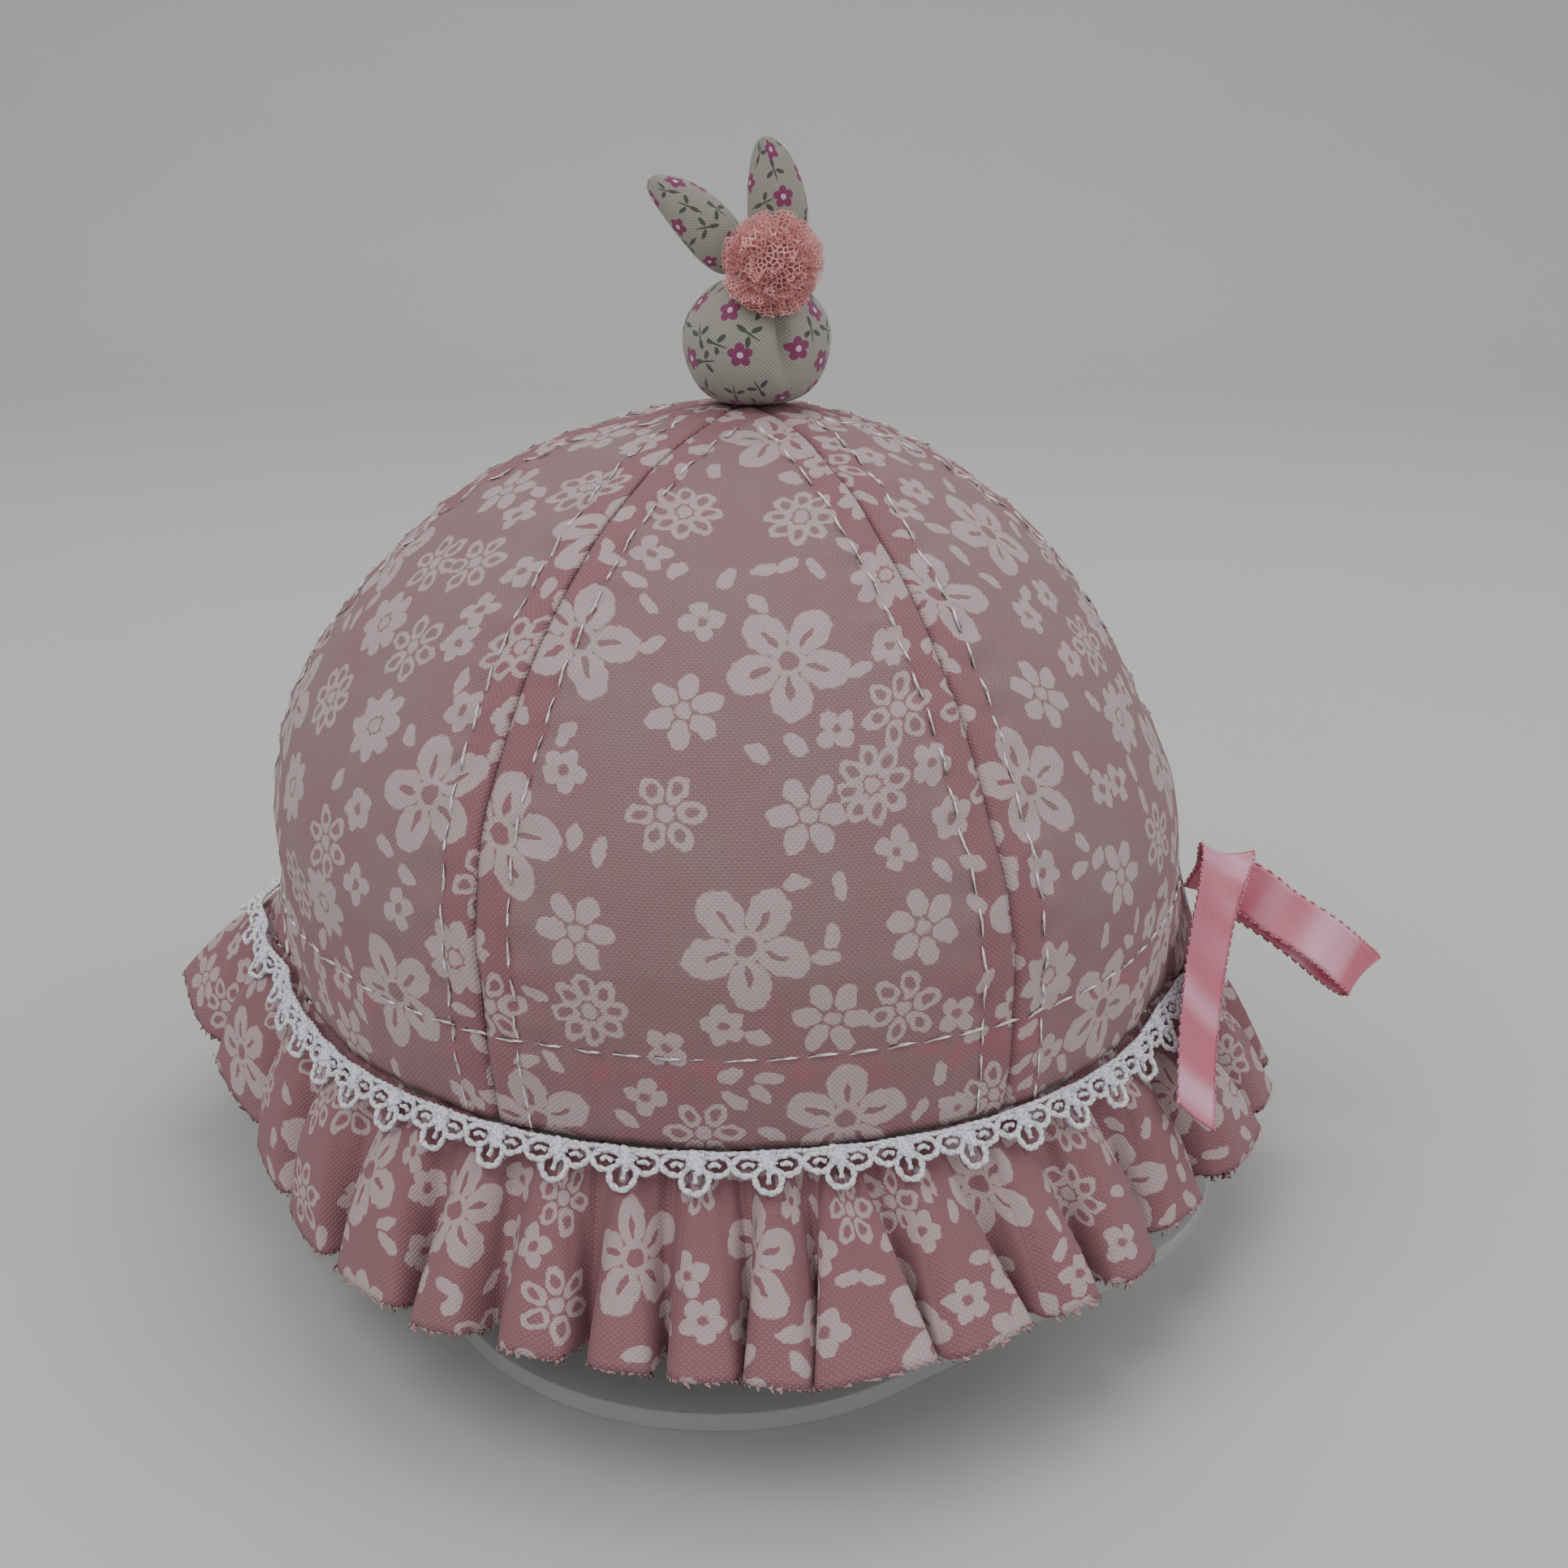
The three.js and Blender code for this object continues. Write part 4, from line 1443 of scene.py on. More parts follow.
@dataclass
class Crown:
    """The six gores, the facing inside their edge, and the rows of topstitching."""

    shape: CrownShape
    columns: int = 60
    rows: int = 110
    top_hole: float = 3.0
    cloth: float = 0.45
    allowance: float = 5.3
    hem_stitch: float = 14.3
    stitch_pitch: float = 2.75
    stitch_sizes: tuple[float, float, float] = (1.4, 0.2, 0.2)
    stitch_lift: float = 0.2
    seam_gap: float = 0.03
    strips: int = 40
    facing_span: tuple[float, float] = (1.5, 25.0)
    facing_sink: float = 1.9
    facing_cloth: float = 0.4
    facing_flat: tuple[float, float] = (TAU * 74.0, 24.5)
    relief_by: SewnRelief = SewnRelief()
    names: tuple[str, ...] = (
        "front", "front_right", "back_right", "back", "back_left", "front_left",
    )
    run: list[float] = field(init=False, default_factory=list)

    def build(self) -> list[bpy.types.Object]:
        """Makes the crown's pieces.

        Returns:
            The gores, the facing and the stitches.
        """
        self.run = self.shape.climbs()
        stitches = self._stitches()
        made = [self._gore(index, name) for index, name in enumerate(self.names)]
        return [*made, self._facing(), stitches]

    def rise(self, share: float) -> float:
        """Measures the way along the cloth from the edge.

        Args:
            share: The share of the profile to measure to.

        Returns:
            The way, in millimetres.
        """
        place = share * (len(self.run) - 1)
        low = min(int(place), len(self.run) - 2)
        return self.run[low] + (self.run[low + 1] - self.run[low]) * (place - low)

    def relief(self, azimuth: float, share: float) -> float:
        """Measures how far the sewn cloth stands off the crown's plain surface.

        Args:
            azimuth: The azimuth.
            share: The share of the way from the edge to the top.

        Returns:
            The height off the surface, in millimetres.
        """
        by = self.relief_by
        seam = self.shape.seam_distance(azimuth, share)
        rise = self.rise(share)
        point = self.shape.point(azimuth, share)
        allowance = by.doubled * (1 - smooth(self.allowance - 0.2, self.allowance + 1.1, seam))
        groove = -by.groove * bump(seam, 0.5)
        stitched = -by.stitched * bump(seam - self.allowance, 0.7)
        hem = by.hem * (1 - smooth(self.hem_stitch - 0.3, self.hem_stitch + 0.9, rise))
        hem_line = -by.hem_line * bump(rise - self.hem_stitch, 0.9)
        pull = by.pucker * math.sin(rise * TAU / by.pucker_pitch + 3 * noise.noise(point / 25))
        pull *= bump(seam - self.allowance - 1.5, 3.2) * smooth(4, 20, rise)
        gathers = by.gathers * noise.noise(Vector((azimuth * 0.34, rise * 0.06, 3.0)))
        gathers *= 1 - smooth(self.hem_stitch, self.hem_stitch + 14, rise)
        soft = by.dents * noise.noise(point / 30 + Vector((4, 9, 2)))
        soft += by.creases * noise.noise(point / 11)
        soft *= smooth(0, 10, rise) * 0.8
        return allowance + groove + stitched + hem + hem_line + pull + gathers + soft - by.sink

    def on_cloth(self, azimuth: float, share: float, lift: float = 0.0) -> tuple[Vector, Vector]:
        """A point of the sewn cloth's outer face and the direction off it."""
        point, off = self.shape.surface(azimuth, share)
        return point + off * (self.relief(azimuth, share) + lift), off

    def _gore(self, index: int, name: str) -> bpy.types.Object:
        """One gore of the crown.

        Args:
            index: Its number, counted from the front towards +X.
            name: Its name.

        Returns:
            The gore's sheet.
        """
        width = 360 / self.shape.panels
        start = self.shape.seam_turn + (index - 0.5) * width
        top = self.shape.share_where(lambda radius, _: radius < self.top_hole)

        def spot(u: float, v: float) -> tuple[float, float]:
            """Finds a place in the gore.

            Args:
                u: The share across.
                v: The share up.

            Returns:
                Its azimuth and its share of the profile.
            """
            share = v * top
            gap = math.degrees(self.seam_gap / self.shape.profile(share)[0])
            return start + gap + (width - 2 * gap) * u, share

        def place(u: float, v: float) -> Vector:
            """The point of a place in the gore."""
            return self.on_cloth(*spot(u, v))[0]

        def flat(u: float, v: float) -> tuple[float, float]:
            """Finds the same place in the flat cloth, each gore cut from another part of it.

            Args:
                u: The share across.
                v: The share up.

            Returns:
                The place, in millimetres.
            """
            azimuth, share = spot(u, v)
            half = azimuth - start - width / 2
            across = self.shape.profile(share)[0] * math.radians(half)
            return across + 137.0 * index, self.rise(share) + 61.0 * index

        def sewn(u: float, v: float) -> tuple[float, float]:
            """The distance of a place from the nearest seam, and its way up the cloth."""
            azimuth, share = spot(u, v)
            return self.shape.seam_distance(azimuth, share), self.rise(share)

        grid = Grid(self.columns, self.rows)
        gore = lay_sheet(f"gore_{name}", grid, place, flat, sewn, Finish.PRINT)
        thicken(gore, self.cloth)
        attach(gore, "print_cotton", f"crown_panel_{name}")
        length = self.run[-1]
        wide = TAU * self.shape.radius / self.shape.panels
        wide * MM
        length * MM
        self._gore_area() * MM * MM
        return gore

    def _gore_area(self) -> float:
        """Adds up the flat area of a gore from strips across it.

        Returns:
            The area, in square millimetres.
        """
        turn = TAU / self.shape.panels
        shares = [strip / self.strips for strip in range(self.strips + 1)]
        radii = [self.shape.profile(share)[0] for share in shares]
        rises = [self.rise(share) for share in shares]
        return sum(
            (radii[i] + radii[i + 1]) / 2 * turn * (rises[i + 1] - rises[i])
            for i in range(self.strips)
        )

    def _facing(self) -> bpy.types.Object:
        """Makes the strip of cloth inside the crown's edge.

        Returns:
            The facing's sheet.
        """
        low = self.shape.share_where(lambda _, height: height > self.facing_span[0])
        high = self.shape.share_where(lambda _, height: height > self.facing_span[1])

        def place(u: float, v: float) -> Vector:
            """Finds a point of the facing.

            Args:
                u: The share across.
                v: The share up.

            Returns:
                The point.
            """
            share = low + (high - low) * v
            point, off = self.shape.surface(360 * u, share)
            ripple = 0.25 * noise.noise(Vector((math.sin(TAU * u), math.cos(TAU * u), v)) * 9)
            return point + off * (ripple - self.facing_sink)

        def flat(u: float, v: float) -> tuple[float, float]:
            """The same place in the flat cloth."""
            return u * TAU * self.shape.radius, v * 24.0 + 40.0

        facing = lay_sheet("facing", Grid(300, 14, True), place, flat, off_seams, Finish.PRINT)
        thicken(facing, self.facing_cloth)
        attach(facing, "print_cotton", "hem_facing")
        around, height = self.facing_flat
        around * MM
        height * MM
        return facing

    def _stitches(self) -> bpy.types.Object:
        """Sews the topstitching: two rows to a seam, and one round the hem.

        Returns:
            All stitches as one object.
        """
        places = []
        width = 360 / self.shape.panels
        for index in range(self.shape.panels):
            seam = self.shape.seam_turn + (index - 0.5) * width
            places += [*self._row(seam, -1), *self._row(seam, 1)]
        share = self.shape.share_where(lambda _, height: height > self.hem_stitch - 0.1)
        pitch = math.degrees(self.stitch_pitch / 72.5)
        for number in range(int(360 / pitch)):
            start, end = number * pitch, (number + 0.5) * pitch
            places.append(self._stitch((start, share), (end, share)))
        mesh = strew_balls(places, 6, 5)
        return attach(place_mesh(mesh, "topstitching", Finish.STITCH), "print_cotton")

    def _row(self, seam: float, side: int) -> list[Matrix]:
        """The places of one row of stitches beside a seam.

        Args:
            seam: The seam's azimuth.
            side: -1 or 1, the side of the seam.

        Returns:
            A matrix for each stitch.
        """

        def spot(rise: float) -> tuple[float, float]:
            """Finds a place in the row.

            Args:
                rise: The way up the row.

            Returns:
                Its azimuth and its share of the profile.
            """
            share = self._share_at(rise)
            radius = self.shape.profile(share)[0]
            return seam + math.degrees(self.allowance / radius) * side, share

        top = self.rise(self.shape.share_where(lambda radius, _: radius < 11.5))
        count = int(top / self.stitch_pitch)
        goals = [(number + 0.4) * self.stitch_pitch for number in range(count)]
        return [self._stitch(spot(goal), spot(goal + 0.5)) for goal in goals]

    def _share_at(self, rise: float) -> float:
        """Finds the share of the profile at a way along the cloth.

        Args:
            rise: The way along the cloth from the edge.

        Returns:
            The share.
        """
        high = next((i for i, run in enumerate(self.run) if run > rise), len(self.run) - 1)
        part = (rise - self.run[high - 1]) / (self.run[high] - self.run[high - 1])
        return (high - 1 + part) / (len(self.run) - 1)

    def _stitch(self, start: tuple[float, float], end: tuple[float, float]) -> Matrix:
        """Lays one stitch.

        Args:
            start: The azimuth and the share of its middle.
            end: Those of a spot that it points at.

        Returns:
            Its matrix.
        """
        point, off = self.on_cloth(*start, self.stitch_lift)
        along = self.on_cloth(*end, self.stitch_lift)[0] - point
        return frame_at(point, along, off, self.stitch_sizes)


@dataclass
class Edging:
    """The gathered ruffle with its frayed hem, and the lace that lies on it."""

    shape: RuffleShape
    columns_per_fold: int = 26
    rows: int = 26
    cloth: float = 0.4
    motifs: int = 48
    motif_width: float = 9.4
    lace_radius: float = 0.47
    lace_wobble: float = 0.16
    fray: int = 1800
    crest_swell: float = 1.5
    valley_sink: float = 1.3
    pinch: float = 0.55
    slack: float = 1.2
    crimp: float = 0.4
    depth: float = 31.0
    like_doubled: tuple[float, float] = (3.0, 40.0)
    measured_at: float = 0.35
    hem: Curve = field(init=False)
    top: Curve = field(init=False)
    count: int = field(init=False)
    cloth_run: list[float] = field(init=False)

    def build(self) -> list[bpy.types.Object]:
        """Makes the ruffle, its fray and the lace.

        Returns:
            The three pieces.
        """
        self.hem, self.top = self.shape.edges()
        self.count = len(self.shape.all_folds())
        lace = self._lace()
        fray = self._fray()
        ruffle = self._ruffle()
        self.cloth_run[-1] * MM
        self.depth * MM
        return [ruffle, fray, lace]

    def on_ruffle(self, u: float, v: float) -> Vector:
        """Finds a point of the ruffle's outer face.

        Args:
            u: The share of the way round.
            v: The share of the way from the hem up to the gathers.

        Returns:
            The point.
        """
        high, low = self.top.at(u), self.hem.at(u)
        point = high.lerp(low, 1 - v)
        azimuth = math.degrees(math.atan2(point.x, -point.y))
        off = self.shape.hang(azimuth)[3]
        lift = self.shape.bulge * math.sin(math.pi * v)
        ring = Vector((math.sin(TAU * u), math.cos(TAU * u), 0.0))
        waver = TAU * u * self.count * 3.0 + 4 * noise.noise(ring * 9)
        pinch = self.pinch * math.sin(waver) * smooth(0.35, 1.0, v)
        slack = self.slack * noise.noise(ring * 13 + Vector((0, 0, v * 1.6))) * (1 - v) ** 0.7
        fine = self.crimp * noise.noise(ring * 42 + Vector((0, 0, v * 2.5)))
        fold = u * self.count * 4 % 4
        crest = self.crest_swell * math.sin(math.pi * min(max((fold + 0.3) / 1.6, 0), 1))
        valley = self.valley_sink * math.sin(math.pi * min(max((fold - 1.5) / 2.2, 0), 1))
        roll = (crest - valley) * (1 - v) ** 0.5 * smooth(1.0, 0.55, v)
        point = point + off * (lift + pinch + slack + fine + roll)
        point.z += 0.8 * noise.noise(ring * 22) * (1 - v)
        if v < 0.01:
            point.z += 0.2 * noise.noise(ring * 260)
        return point

    def _ruffle(self) -> bpy.types.Object:
        """Makes the ruffle's cloth and measures its run.

        Returns:
            The ruffle's sheet.
        """
        columns = self.count * self.columns_per_fold
        shares = [index / columns for index in range(columns + 1)]
        self.cloth_run = run_lengths([self.on_ruffle(u, self.measured_at) for u in shares])

        def flat(u: float, v: float) -> tuple[float, float]:
            """The same place in the flat cloth."""
            return self.cloth_run[round(u * columns)], self.depth * v + 200.0

        def sewn(_u: float, _v: float) -> tuple[float, float]:
            """The same everywhere, as the ruffle has the colour of doubled cloth."""
            return self.like_doubled

        grid = Grid(columns, self.rows, True)
        ruffle = lay_sheet("ruffle_cloth", grid, self.on_ruffle, flat, sewn, Finish.PRINT)
        thicken(ruffle, self.cloth)
        return attach(ruffle, "print_cotton", "ruffle")

    def _fray(self) -> bpy.types.Object:
        """Strews short loose threads along the raw hem.

        Returns:
            The threads as one object.
        """
        chance = random.Random(5)
        places = []
        for number in range(self.fray):
            u = (number + chance.random()) / self.fray
            base = self.on_ruffle(u, 0.004)
            above = self.on_ruffle(u, 0.06)
            along = (base - above).normalized()
            along += Vector([chance.uniform(-0.45, 0.45) for _ in range(3)])
            reach = chance.choice((0.15, 0.25, 0.35, 0.6))
            sizes = (reach, 0.07, 0.07)
            places.append(frame_at(base + along * reach * 0.6, along, outward(360 * u), sizes))
        mesh = strew_balls(places, 4, 3)
        return attach(place_mesh(mesh, "hem_fray", Finish.FRAY), "print_cotton")

    def _lace(self) -> bpy.types.Object:
        """Makes the lace: one motif of twisted threads, repeated round the edge.

        Returns:
            The lace as one object.
        """
        half = self.motif_width / 2
        bar = [(-half, 0.5), (-2.4, 0.45), (0, 0.4), (2.4, 0.45), (half, 0.5)]
        knot = [(-0.9, 0.5), (0.95, 0.7), (-1.15, 1.2), (1.2, 1.5), (-1.0, 1.95)]
        knot += [(0.85, 2.3), (0, 2.9)]
        loop = [(-0.7, 1.0), (-2.0, 0.95), (-3.3, 0.85), (-4.5, 1.6), (-4.2, 2.6), (-3.0, 3.15)]
        loop += [(-1.8, 3.0), (-0.8, 2.2)]
        spur = [(-3.3, 2.05), (-2.6, 1.75), (-1.7, 2.0)]
        point = [(-1.65, 2.8), (-1.75, 3.8), (-1.2, 4.9), (0, 5.25), (1.2, 4.9), (1.75, 3.8)]
        point += [(1.65, 2.8)]
        stamen = [(0, 2.7), (0.1, 3.4), (0.0, 4.1)]
        flip = [[(-x, y) for x, y in line] for line in (loop, spur)]
        lines = [(bar, 0.8), (knot, 1.15), (loop, 1), (spur, 0.8), (point, 1), (stamen, 0.85)]
        lines += [(flip[0], 1), (flip[1], 0.8)]
        cording = Cording("lace_edging", Finish.LACE, self.lace_radius)
        for index in range(self.motifs):
            for number, (line, grow) in enumerate(lines):
                wobble = [
                    Vector((x, y, 0)) + wander(Vector((x, y, index * 3.1))) * self.lace_wobble
                    for x, y in line
                ]
                lift = 0.25 if number == 1 else 0.0
                cording.lay(wobble, lambda p, i=index, h=lift: self._on_lace(i, p, h), grow)
        return attach(cording.make(), "lace_cotton", "lace_trim")

    def _on_lace(self, index: int, point: Vector, lift: float) -> Vector:
        """Lays a flat point of a motif on the bonnet.

        Args:
            index: The motif's number.
            point: The flat point.
            lift: How far it is raised.

        Returns:
            Where it lies.
        """
        azimuth = 360 * (index + 0.5 + point.x / self.motif_width) / self.motifs
        top, down, length, off = self.shape.hang(azimuth)
        fall = 0.1 + point.y * 1.14
        rise = self.shape.bulge * math.sin(math.pi * fall / length)
        ruffled = 0.35 * math.sin(azimuth * 0.9) + 0.3 * math.sin(azimuth * 2.3 + 1)
        return top + down * fall + off * (1.95 + 0.1 * fall + rise + lift + ruffled * fall / 6)


@dataclass
class Ribbons:
    """The satin ribbon: its hanging tail and the loop beside it."""

    width: float = 8.9
    thickness: float = 0.3
    bead: float = 0.3
    bead_pitch: float = 0.72
    columns: int = 14
    rows: int = 150
    cup: float = 0.35
    flat_width: float = 10.0
    tail: Table = (
        (81.72, 4.8, 5.2, 0.93, 0.3, -0.2), (83.8, 3.8, 10.5, 0.93, 0.3, -0.2),
        (83.6, 0.6, 14.0, 0.93, 0.25, -0.22), (82.4, -3.6, 12.6, 0.86, 0.1, -0.5),
        (80.6, -7.6, 8.8, 0.74, 0.14, -0.65), (77.4, -16.4, 4.3, 0.72, 0.24, -0.62),
        (74.3, -26.4, 0.0, 0.72, 0.3, -0.62), (71.6, -36.8, -4.6, 0.72, 0.32, -0.62),
        (69.8, -45.6, -9.6, 0.72, 0.32, -0.62),
    )
    loop: Table = (
        (82.8, 7.2, 5.2, 0.45, 0.3, 0.84), (89.5, 8.4, 4.2, 0.52, 0.35, 0.78),
        (95.4, 5.6, 0.8, 0.68, 0.48, 0.56), (102.6, 3.6, -3.6, 0.73, 0.48, 0.48),
        (107.4, 3.2, -7.6, 0.71, 0.49, 0.5), (110.1, 4, -10.4, 0.71, 0.5, 0.5),
        (109.2, 6.2, -11.4, 0.71, 0.5, 0.5), (105.4, 7.2, -9, 0.71, 0.5, 0.5),
        (99.6, 8, -4.4, 0.71, 0.5, 0.5), (92.6, 10.6, 0.2, 0.6, 0.42, 0.68),
        (87.4, 13.4, 2.6, 0.5, 0.3, 0.82),
    )

    def build(self) -> list[bpy.types.Object]:
        """Makes both stretches of ribbon with their woven edges.

        Returns:
            The two ribbons and their edges.
        """
        return [*self._stretch("tail", self.tail), *self._stretch("loop", self.loop)]

    def _stretch(self, name: str, table: Table) -> list[bpy.types.Object]:
        """Makes one stretch of ribbon.

        Args:
            name: Its name.
            table: The points of its middle line, each with the way across it.

        Returns:
            The ribbon and its woven edges.
        """
        line = Curve([Vector(row[:3]) for row in table])
        cross = Curve([Vector(row[3:]) for row in table])
        length = run_lengths([line.at(index / 200) for index in range(201)])[-1]

        def place(u: float, v: float) -> Vector:
            """Finds a point of the ribbon.

            Args:
                u: The share across.
                v: The share along.

            Returns:
                The point.
            """
            ahead = (line.at(min(v + 0.01, 1)) - line.at(max(v - 0.01, 0))).normalized()
            wide = cross.at(v)
            wide = (wide - ahead * wide.dot(ahead)).normalized()
            off = wide.cross(ahead)
            cup = self.cup * (1 - (2 * u - 1) ** 2)
            return line.at(v) + wide * (u - 0.5) * self.width + off * cup

        def flat(u: float, v: float) -> tuple[float, float]:
            """The same place in the flat ribbon."""
            return u * self.width, v * length

        grid = Grid(self.columns, self.rows)
        ribbon = lay_sheet(f"ribbon_{name}_satin", grid, place, flat, off_seams, Finish.SATIN)
        thicken(ribbon, self.thickness, 0.0)
        edge = self._edge(name, place, length)
        attach(ribbon, "satin_ribbon", f"ribbon_{name}")
        return [ribbon, edge]

    def _edge(self, name: str, place: Place, length: float) -> bpy.types.Object:
        """Lays small knots along both edges of a ribbon.

        Args:
            name: The ribbon's name.
            place: Where a share across and a share along lie.
            length: The ribbon's length.

        Returns:
            The knots as one object.
        """
        places = []
        count = int(length / self.bead_pitch)
        sizes = (self.bead, self.bead, self.bead * 0.75)
        for side in (0.0, 1.0):
            for number in range(count + 1):
                v = number / count
                ahead = place(side, min(v + 0.01, 1)) - place(side, max(v - 0.01, 0))
                wide = place(1, v) - place(0, v)
                out = wide.normalized() * (0.1 if side else -0.1)
                places.append(frame_at(place(side, v) + out, ahead, ahead.cross(wide), sizes))
        mesh = strew_balls(places, 6, 5)
        return attach(place_mesh(mesh, f"ribbon_{name}_edges", Finish.PICOT), "satin_ribbon")


@dataclass
class Ear:
    """One ear of the rabbit."""

    name: str
    half_width: float
    half_depth: float
    spine: Table
    wide: tuple[float, float, float]


@dataclass
class Rabbit:
    """The stuffed head, its ears, and the pompom of gathered net between them."""

    crown: CrownShape
    middle: tuple[float, float] = (4.4, 0.0)
    halves: tuple[float, float, float] = (11.4, 10.8, 9.8)
    gap: float = 0.3
    low_round: float = 0.6
    fill: float = 0.9
    ears: tuple[Ear, ...] = (
        Ear(
            "left",
            4.2,
            2.5,
            ((1.0, 1.6, 20.0), (-1.6, 1.6, 24.6), (-6.4, 1.2, 29.6), (-12.0, 0.6, 33.6)),
            (0.72, 0.1, 0.69),
        ),
        Ear(
            "right",
            4.6,
            2.4,
            ((6.6, 1.8, 20.0), (7.6, 2.0, 26.4), (6.9, 2.0, 33.4), (5.3, 1.6, 39.8)),
            (0.97, 0.1, 0.2),
        ),
    )
    pompom: tuple[float, float, float] = (6.5, -8.8, 22.0)
    pompom_radius: float = 7.9
    pompom_core: float = 5.6
    frills: int = 84
    net_width: float = 16.0

    def build(self) -> list[bpy.types.Object]:
        """Makes the rabbit.

        Returns:
            The head, the ears and the pompom.
        """
        made = [self._head(), *(self._ear(ear) for ear in self.ears)]
        return [*made, self._pompom(), self._core()]

    def _ball(
        self, name: str, sides: int, rings: int, place: Place, flat: Pair
    ) -> bpy.types.Object:
        """Makes a stuffed shape from a ball.

        Args:
            name: Its name.
            sides: The ball's sides.
            rings: Its rings.
            place: Where a share up the ball and a share of a turn round it move to.
            flat: The same place in the flat cloth.

        Returns:
            The shape.
        """
        mesh = bmesh.new()
        bmesh.ops.create_uvsphere(mesh, u_segments=sides, v_segments=rings, radius=1.0)
        layers = cloth_layers(mesh)
        spots = {}
        for vert in mesh.verts:
            up = math.asin(min(max(vert.co.z, -1.0), 1.0)) / math.pi + 0.5
            spots[vert] = (up, math.atan2(vert.co.x, -vert.co.y) / TAU)
        for face in mesh.faces:
            centre = face.calc_center_median()
            facing = math.atan2(centre.x, -centre.y) / TAU
            for loop in face.loops:
                up, turn = spots[loop.vert]
                at_pole = min(up, 1 - up) < 1e-4
                turn = facing if at_pole else facing + (turn - facing + 0.5) % 1 - 0.5
                loop[layers[0]].uv = Vector(flat(up, turn)) / UV_MM
                loop[layers[1]].uv = Vector(AWAY_FROM_SEAMS) / UV_MM
        for vert, spot in spots.items():
            vert.co = to_row(place(*spot))
        bmesh.ops.recalc_face_normals(mesh, faces=mesh.faces[:])
        return place_mesh(mesh, name, Finish.SPRIG)

    def _head(self) -> bpy.types.Object:
        """Makes the head: a ball flattened where it sits, creased under the pompom.

        Returns:
            The head.
        """
        centre = Vector((*self.middle, self.crown.height + self.gap + self.halves[2]))

        def place(up: float, turn: float) -> Vector:
            """Finds a point of the head.

            Args:
                up: The share of the way up.
                turn: The share of a turn round it.

            Returns:
                The point.
            """
            rise = (up - 0.5) * math.pi
            azimuth = 360 * turn
            cosine = max(math.cos(rise), 0.0)
            crease = 2.4 * bump(wrap(azimuth - 20) + 18 * (up - 0.5), 5.0) * smooth(0.2, 0.6, up)
            gathers = 0.35 * math.sin(math.radians(azimuth) * 13) * smooth(0.62, 0.9, up)
            pinch = 0.3 * math.sin(math.radians(azimuth) * 17) * smooth(0.3, 0.05, up)
            seam = 0.7 * bump(wrap(azimuth + 92), 3.0)
            dent = (crease + seam) * cosine**2 - gathers - pinch
            out = outward(azimuth) * cosine ** (self.low_round if rise < 0 else 1.0)
            soft = 0.25 * noise.noise(Vector((out.x, out.y, up * 2)) * 2.2)
            point = Vector((out.x * (self.halves[0] - dent), out.y * (self.halves[1] - dent), 0))
            point.z = math.sin(rise) * self.halves[2]
            return centre + point * (1 + soft * 0.06)

        def flat(up: float, turn: float) -> tuple[float, float]:
            """The same place in the flat cloth."""
            return turn * TAU * 9.6 + 300.0, up * 28.0

        return attach(self._ball("head", 96, 64, place, flat), "cream_cotton", "rabbit_head")

    def _ear(self, ear: Ear) -> bpy.types.Object:
        """Makes one ear, lightly stuffed and drawn in at its foot.

        Args:
            ear: Its sizes and its bend.

        Returns:
            The ear.
        """
        spine = Curve([Vector(row) + Vector((0, 0, self.crown.height)) for row in ear.spine])
        wide = Vector(ear.wide).normalized()

        def place(up: float, turn: float) -> Vector:
            """Finds a point of the ear.

            Args:
                up: The share of the way up.
                turn: The share of a turn round it.

            Returns:
                The point.
            """
            ahead = (spine.at(min(up + 0.02, 1)) - spine.at(max(up - 0.02, 0))).normalized()
            side = (wide - ahead * wide.dot(ahead)).normalized()
            deep = ahead.cross(side)
            swell = max(math.sin(math.pi * up**0.8), 0.0) ** 0.5
            angle = TAU * turn
            fold = 0.18 * bump(math.cos(angle) - 0.1, 0.35) * smooth(0.7, 0.1, up)
            out = side * math.cos(angle) * ear.half_width + deep * math.sin(angle) * ear.half_depth
            return spine.at(up) + out * swell * (1 - fold)

        def flat(up: float, turn: float) -> tuple[float, float]:
            """The same place in the flat cloth."""
            return turn * TAU * ear.half_width + 340.0 + ear.half_width * 31, up * 22.0

        made = self._ball(f"ear_{ear.name}", 40, 40, place, flat)
        return attach(made, "cream_cotton", f"rabbit_ear_{ear.name}")

    def _pompom_middle(self) -> Vector:
        """The pompom's middle in the bonnet's frame."""
        return Vector(self.pompom) + Vector((0, 0, self.crown.height))

    def _pompom(self) -> bpy.types.Object:
        """Makes the frills of net that spread from the pompom's middle.

        Returns:
            The net as one object.
        """
        chance = random.Random(11)
        centre = self._pompom_middle()
        mesh = bmesh.new()
        layers = cloth_layers(mesh)
        golden = math.pi * (3 - math.sqrt(5))
        for number in range(self.frills):
            lift = 1 - 2 * (number + 0.5) / self.frills
            level = math.sqrt(1 - lift * lift)
            turn = golden * number
            aim = Vector((math.cos(turn) * level, math.sin(turn) * level, lift))
            self._frill(mesh, layers, centre, aim, chance)
        made = attach(place_mesh(mesh, "pompom_net", Finish.NET), "pink_net", "pompom")
        area = sum(face.area for face in made.data.polygons)
        width = self.net_width * MM
        area / width
        return made

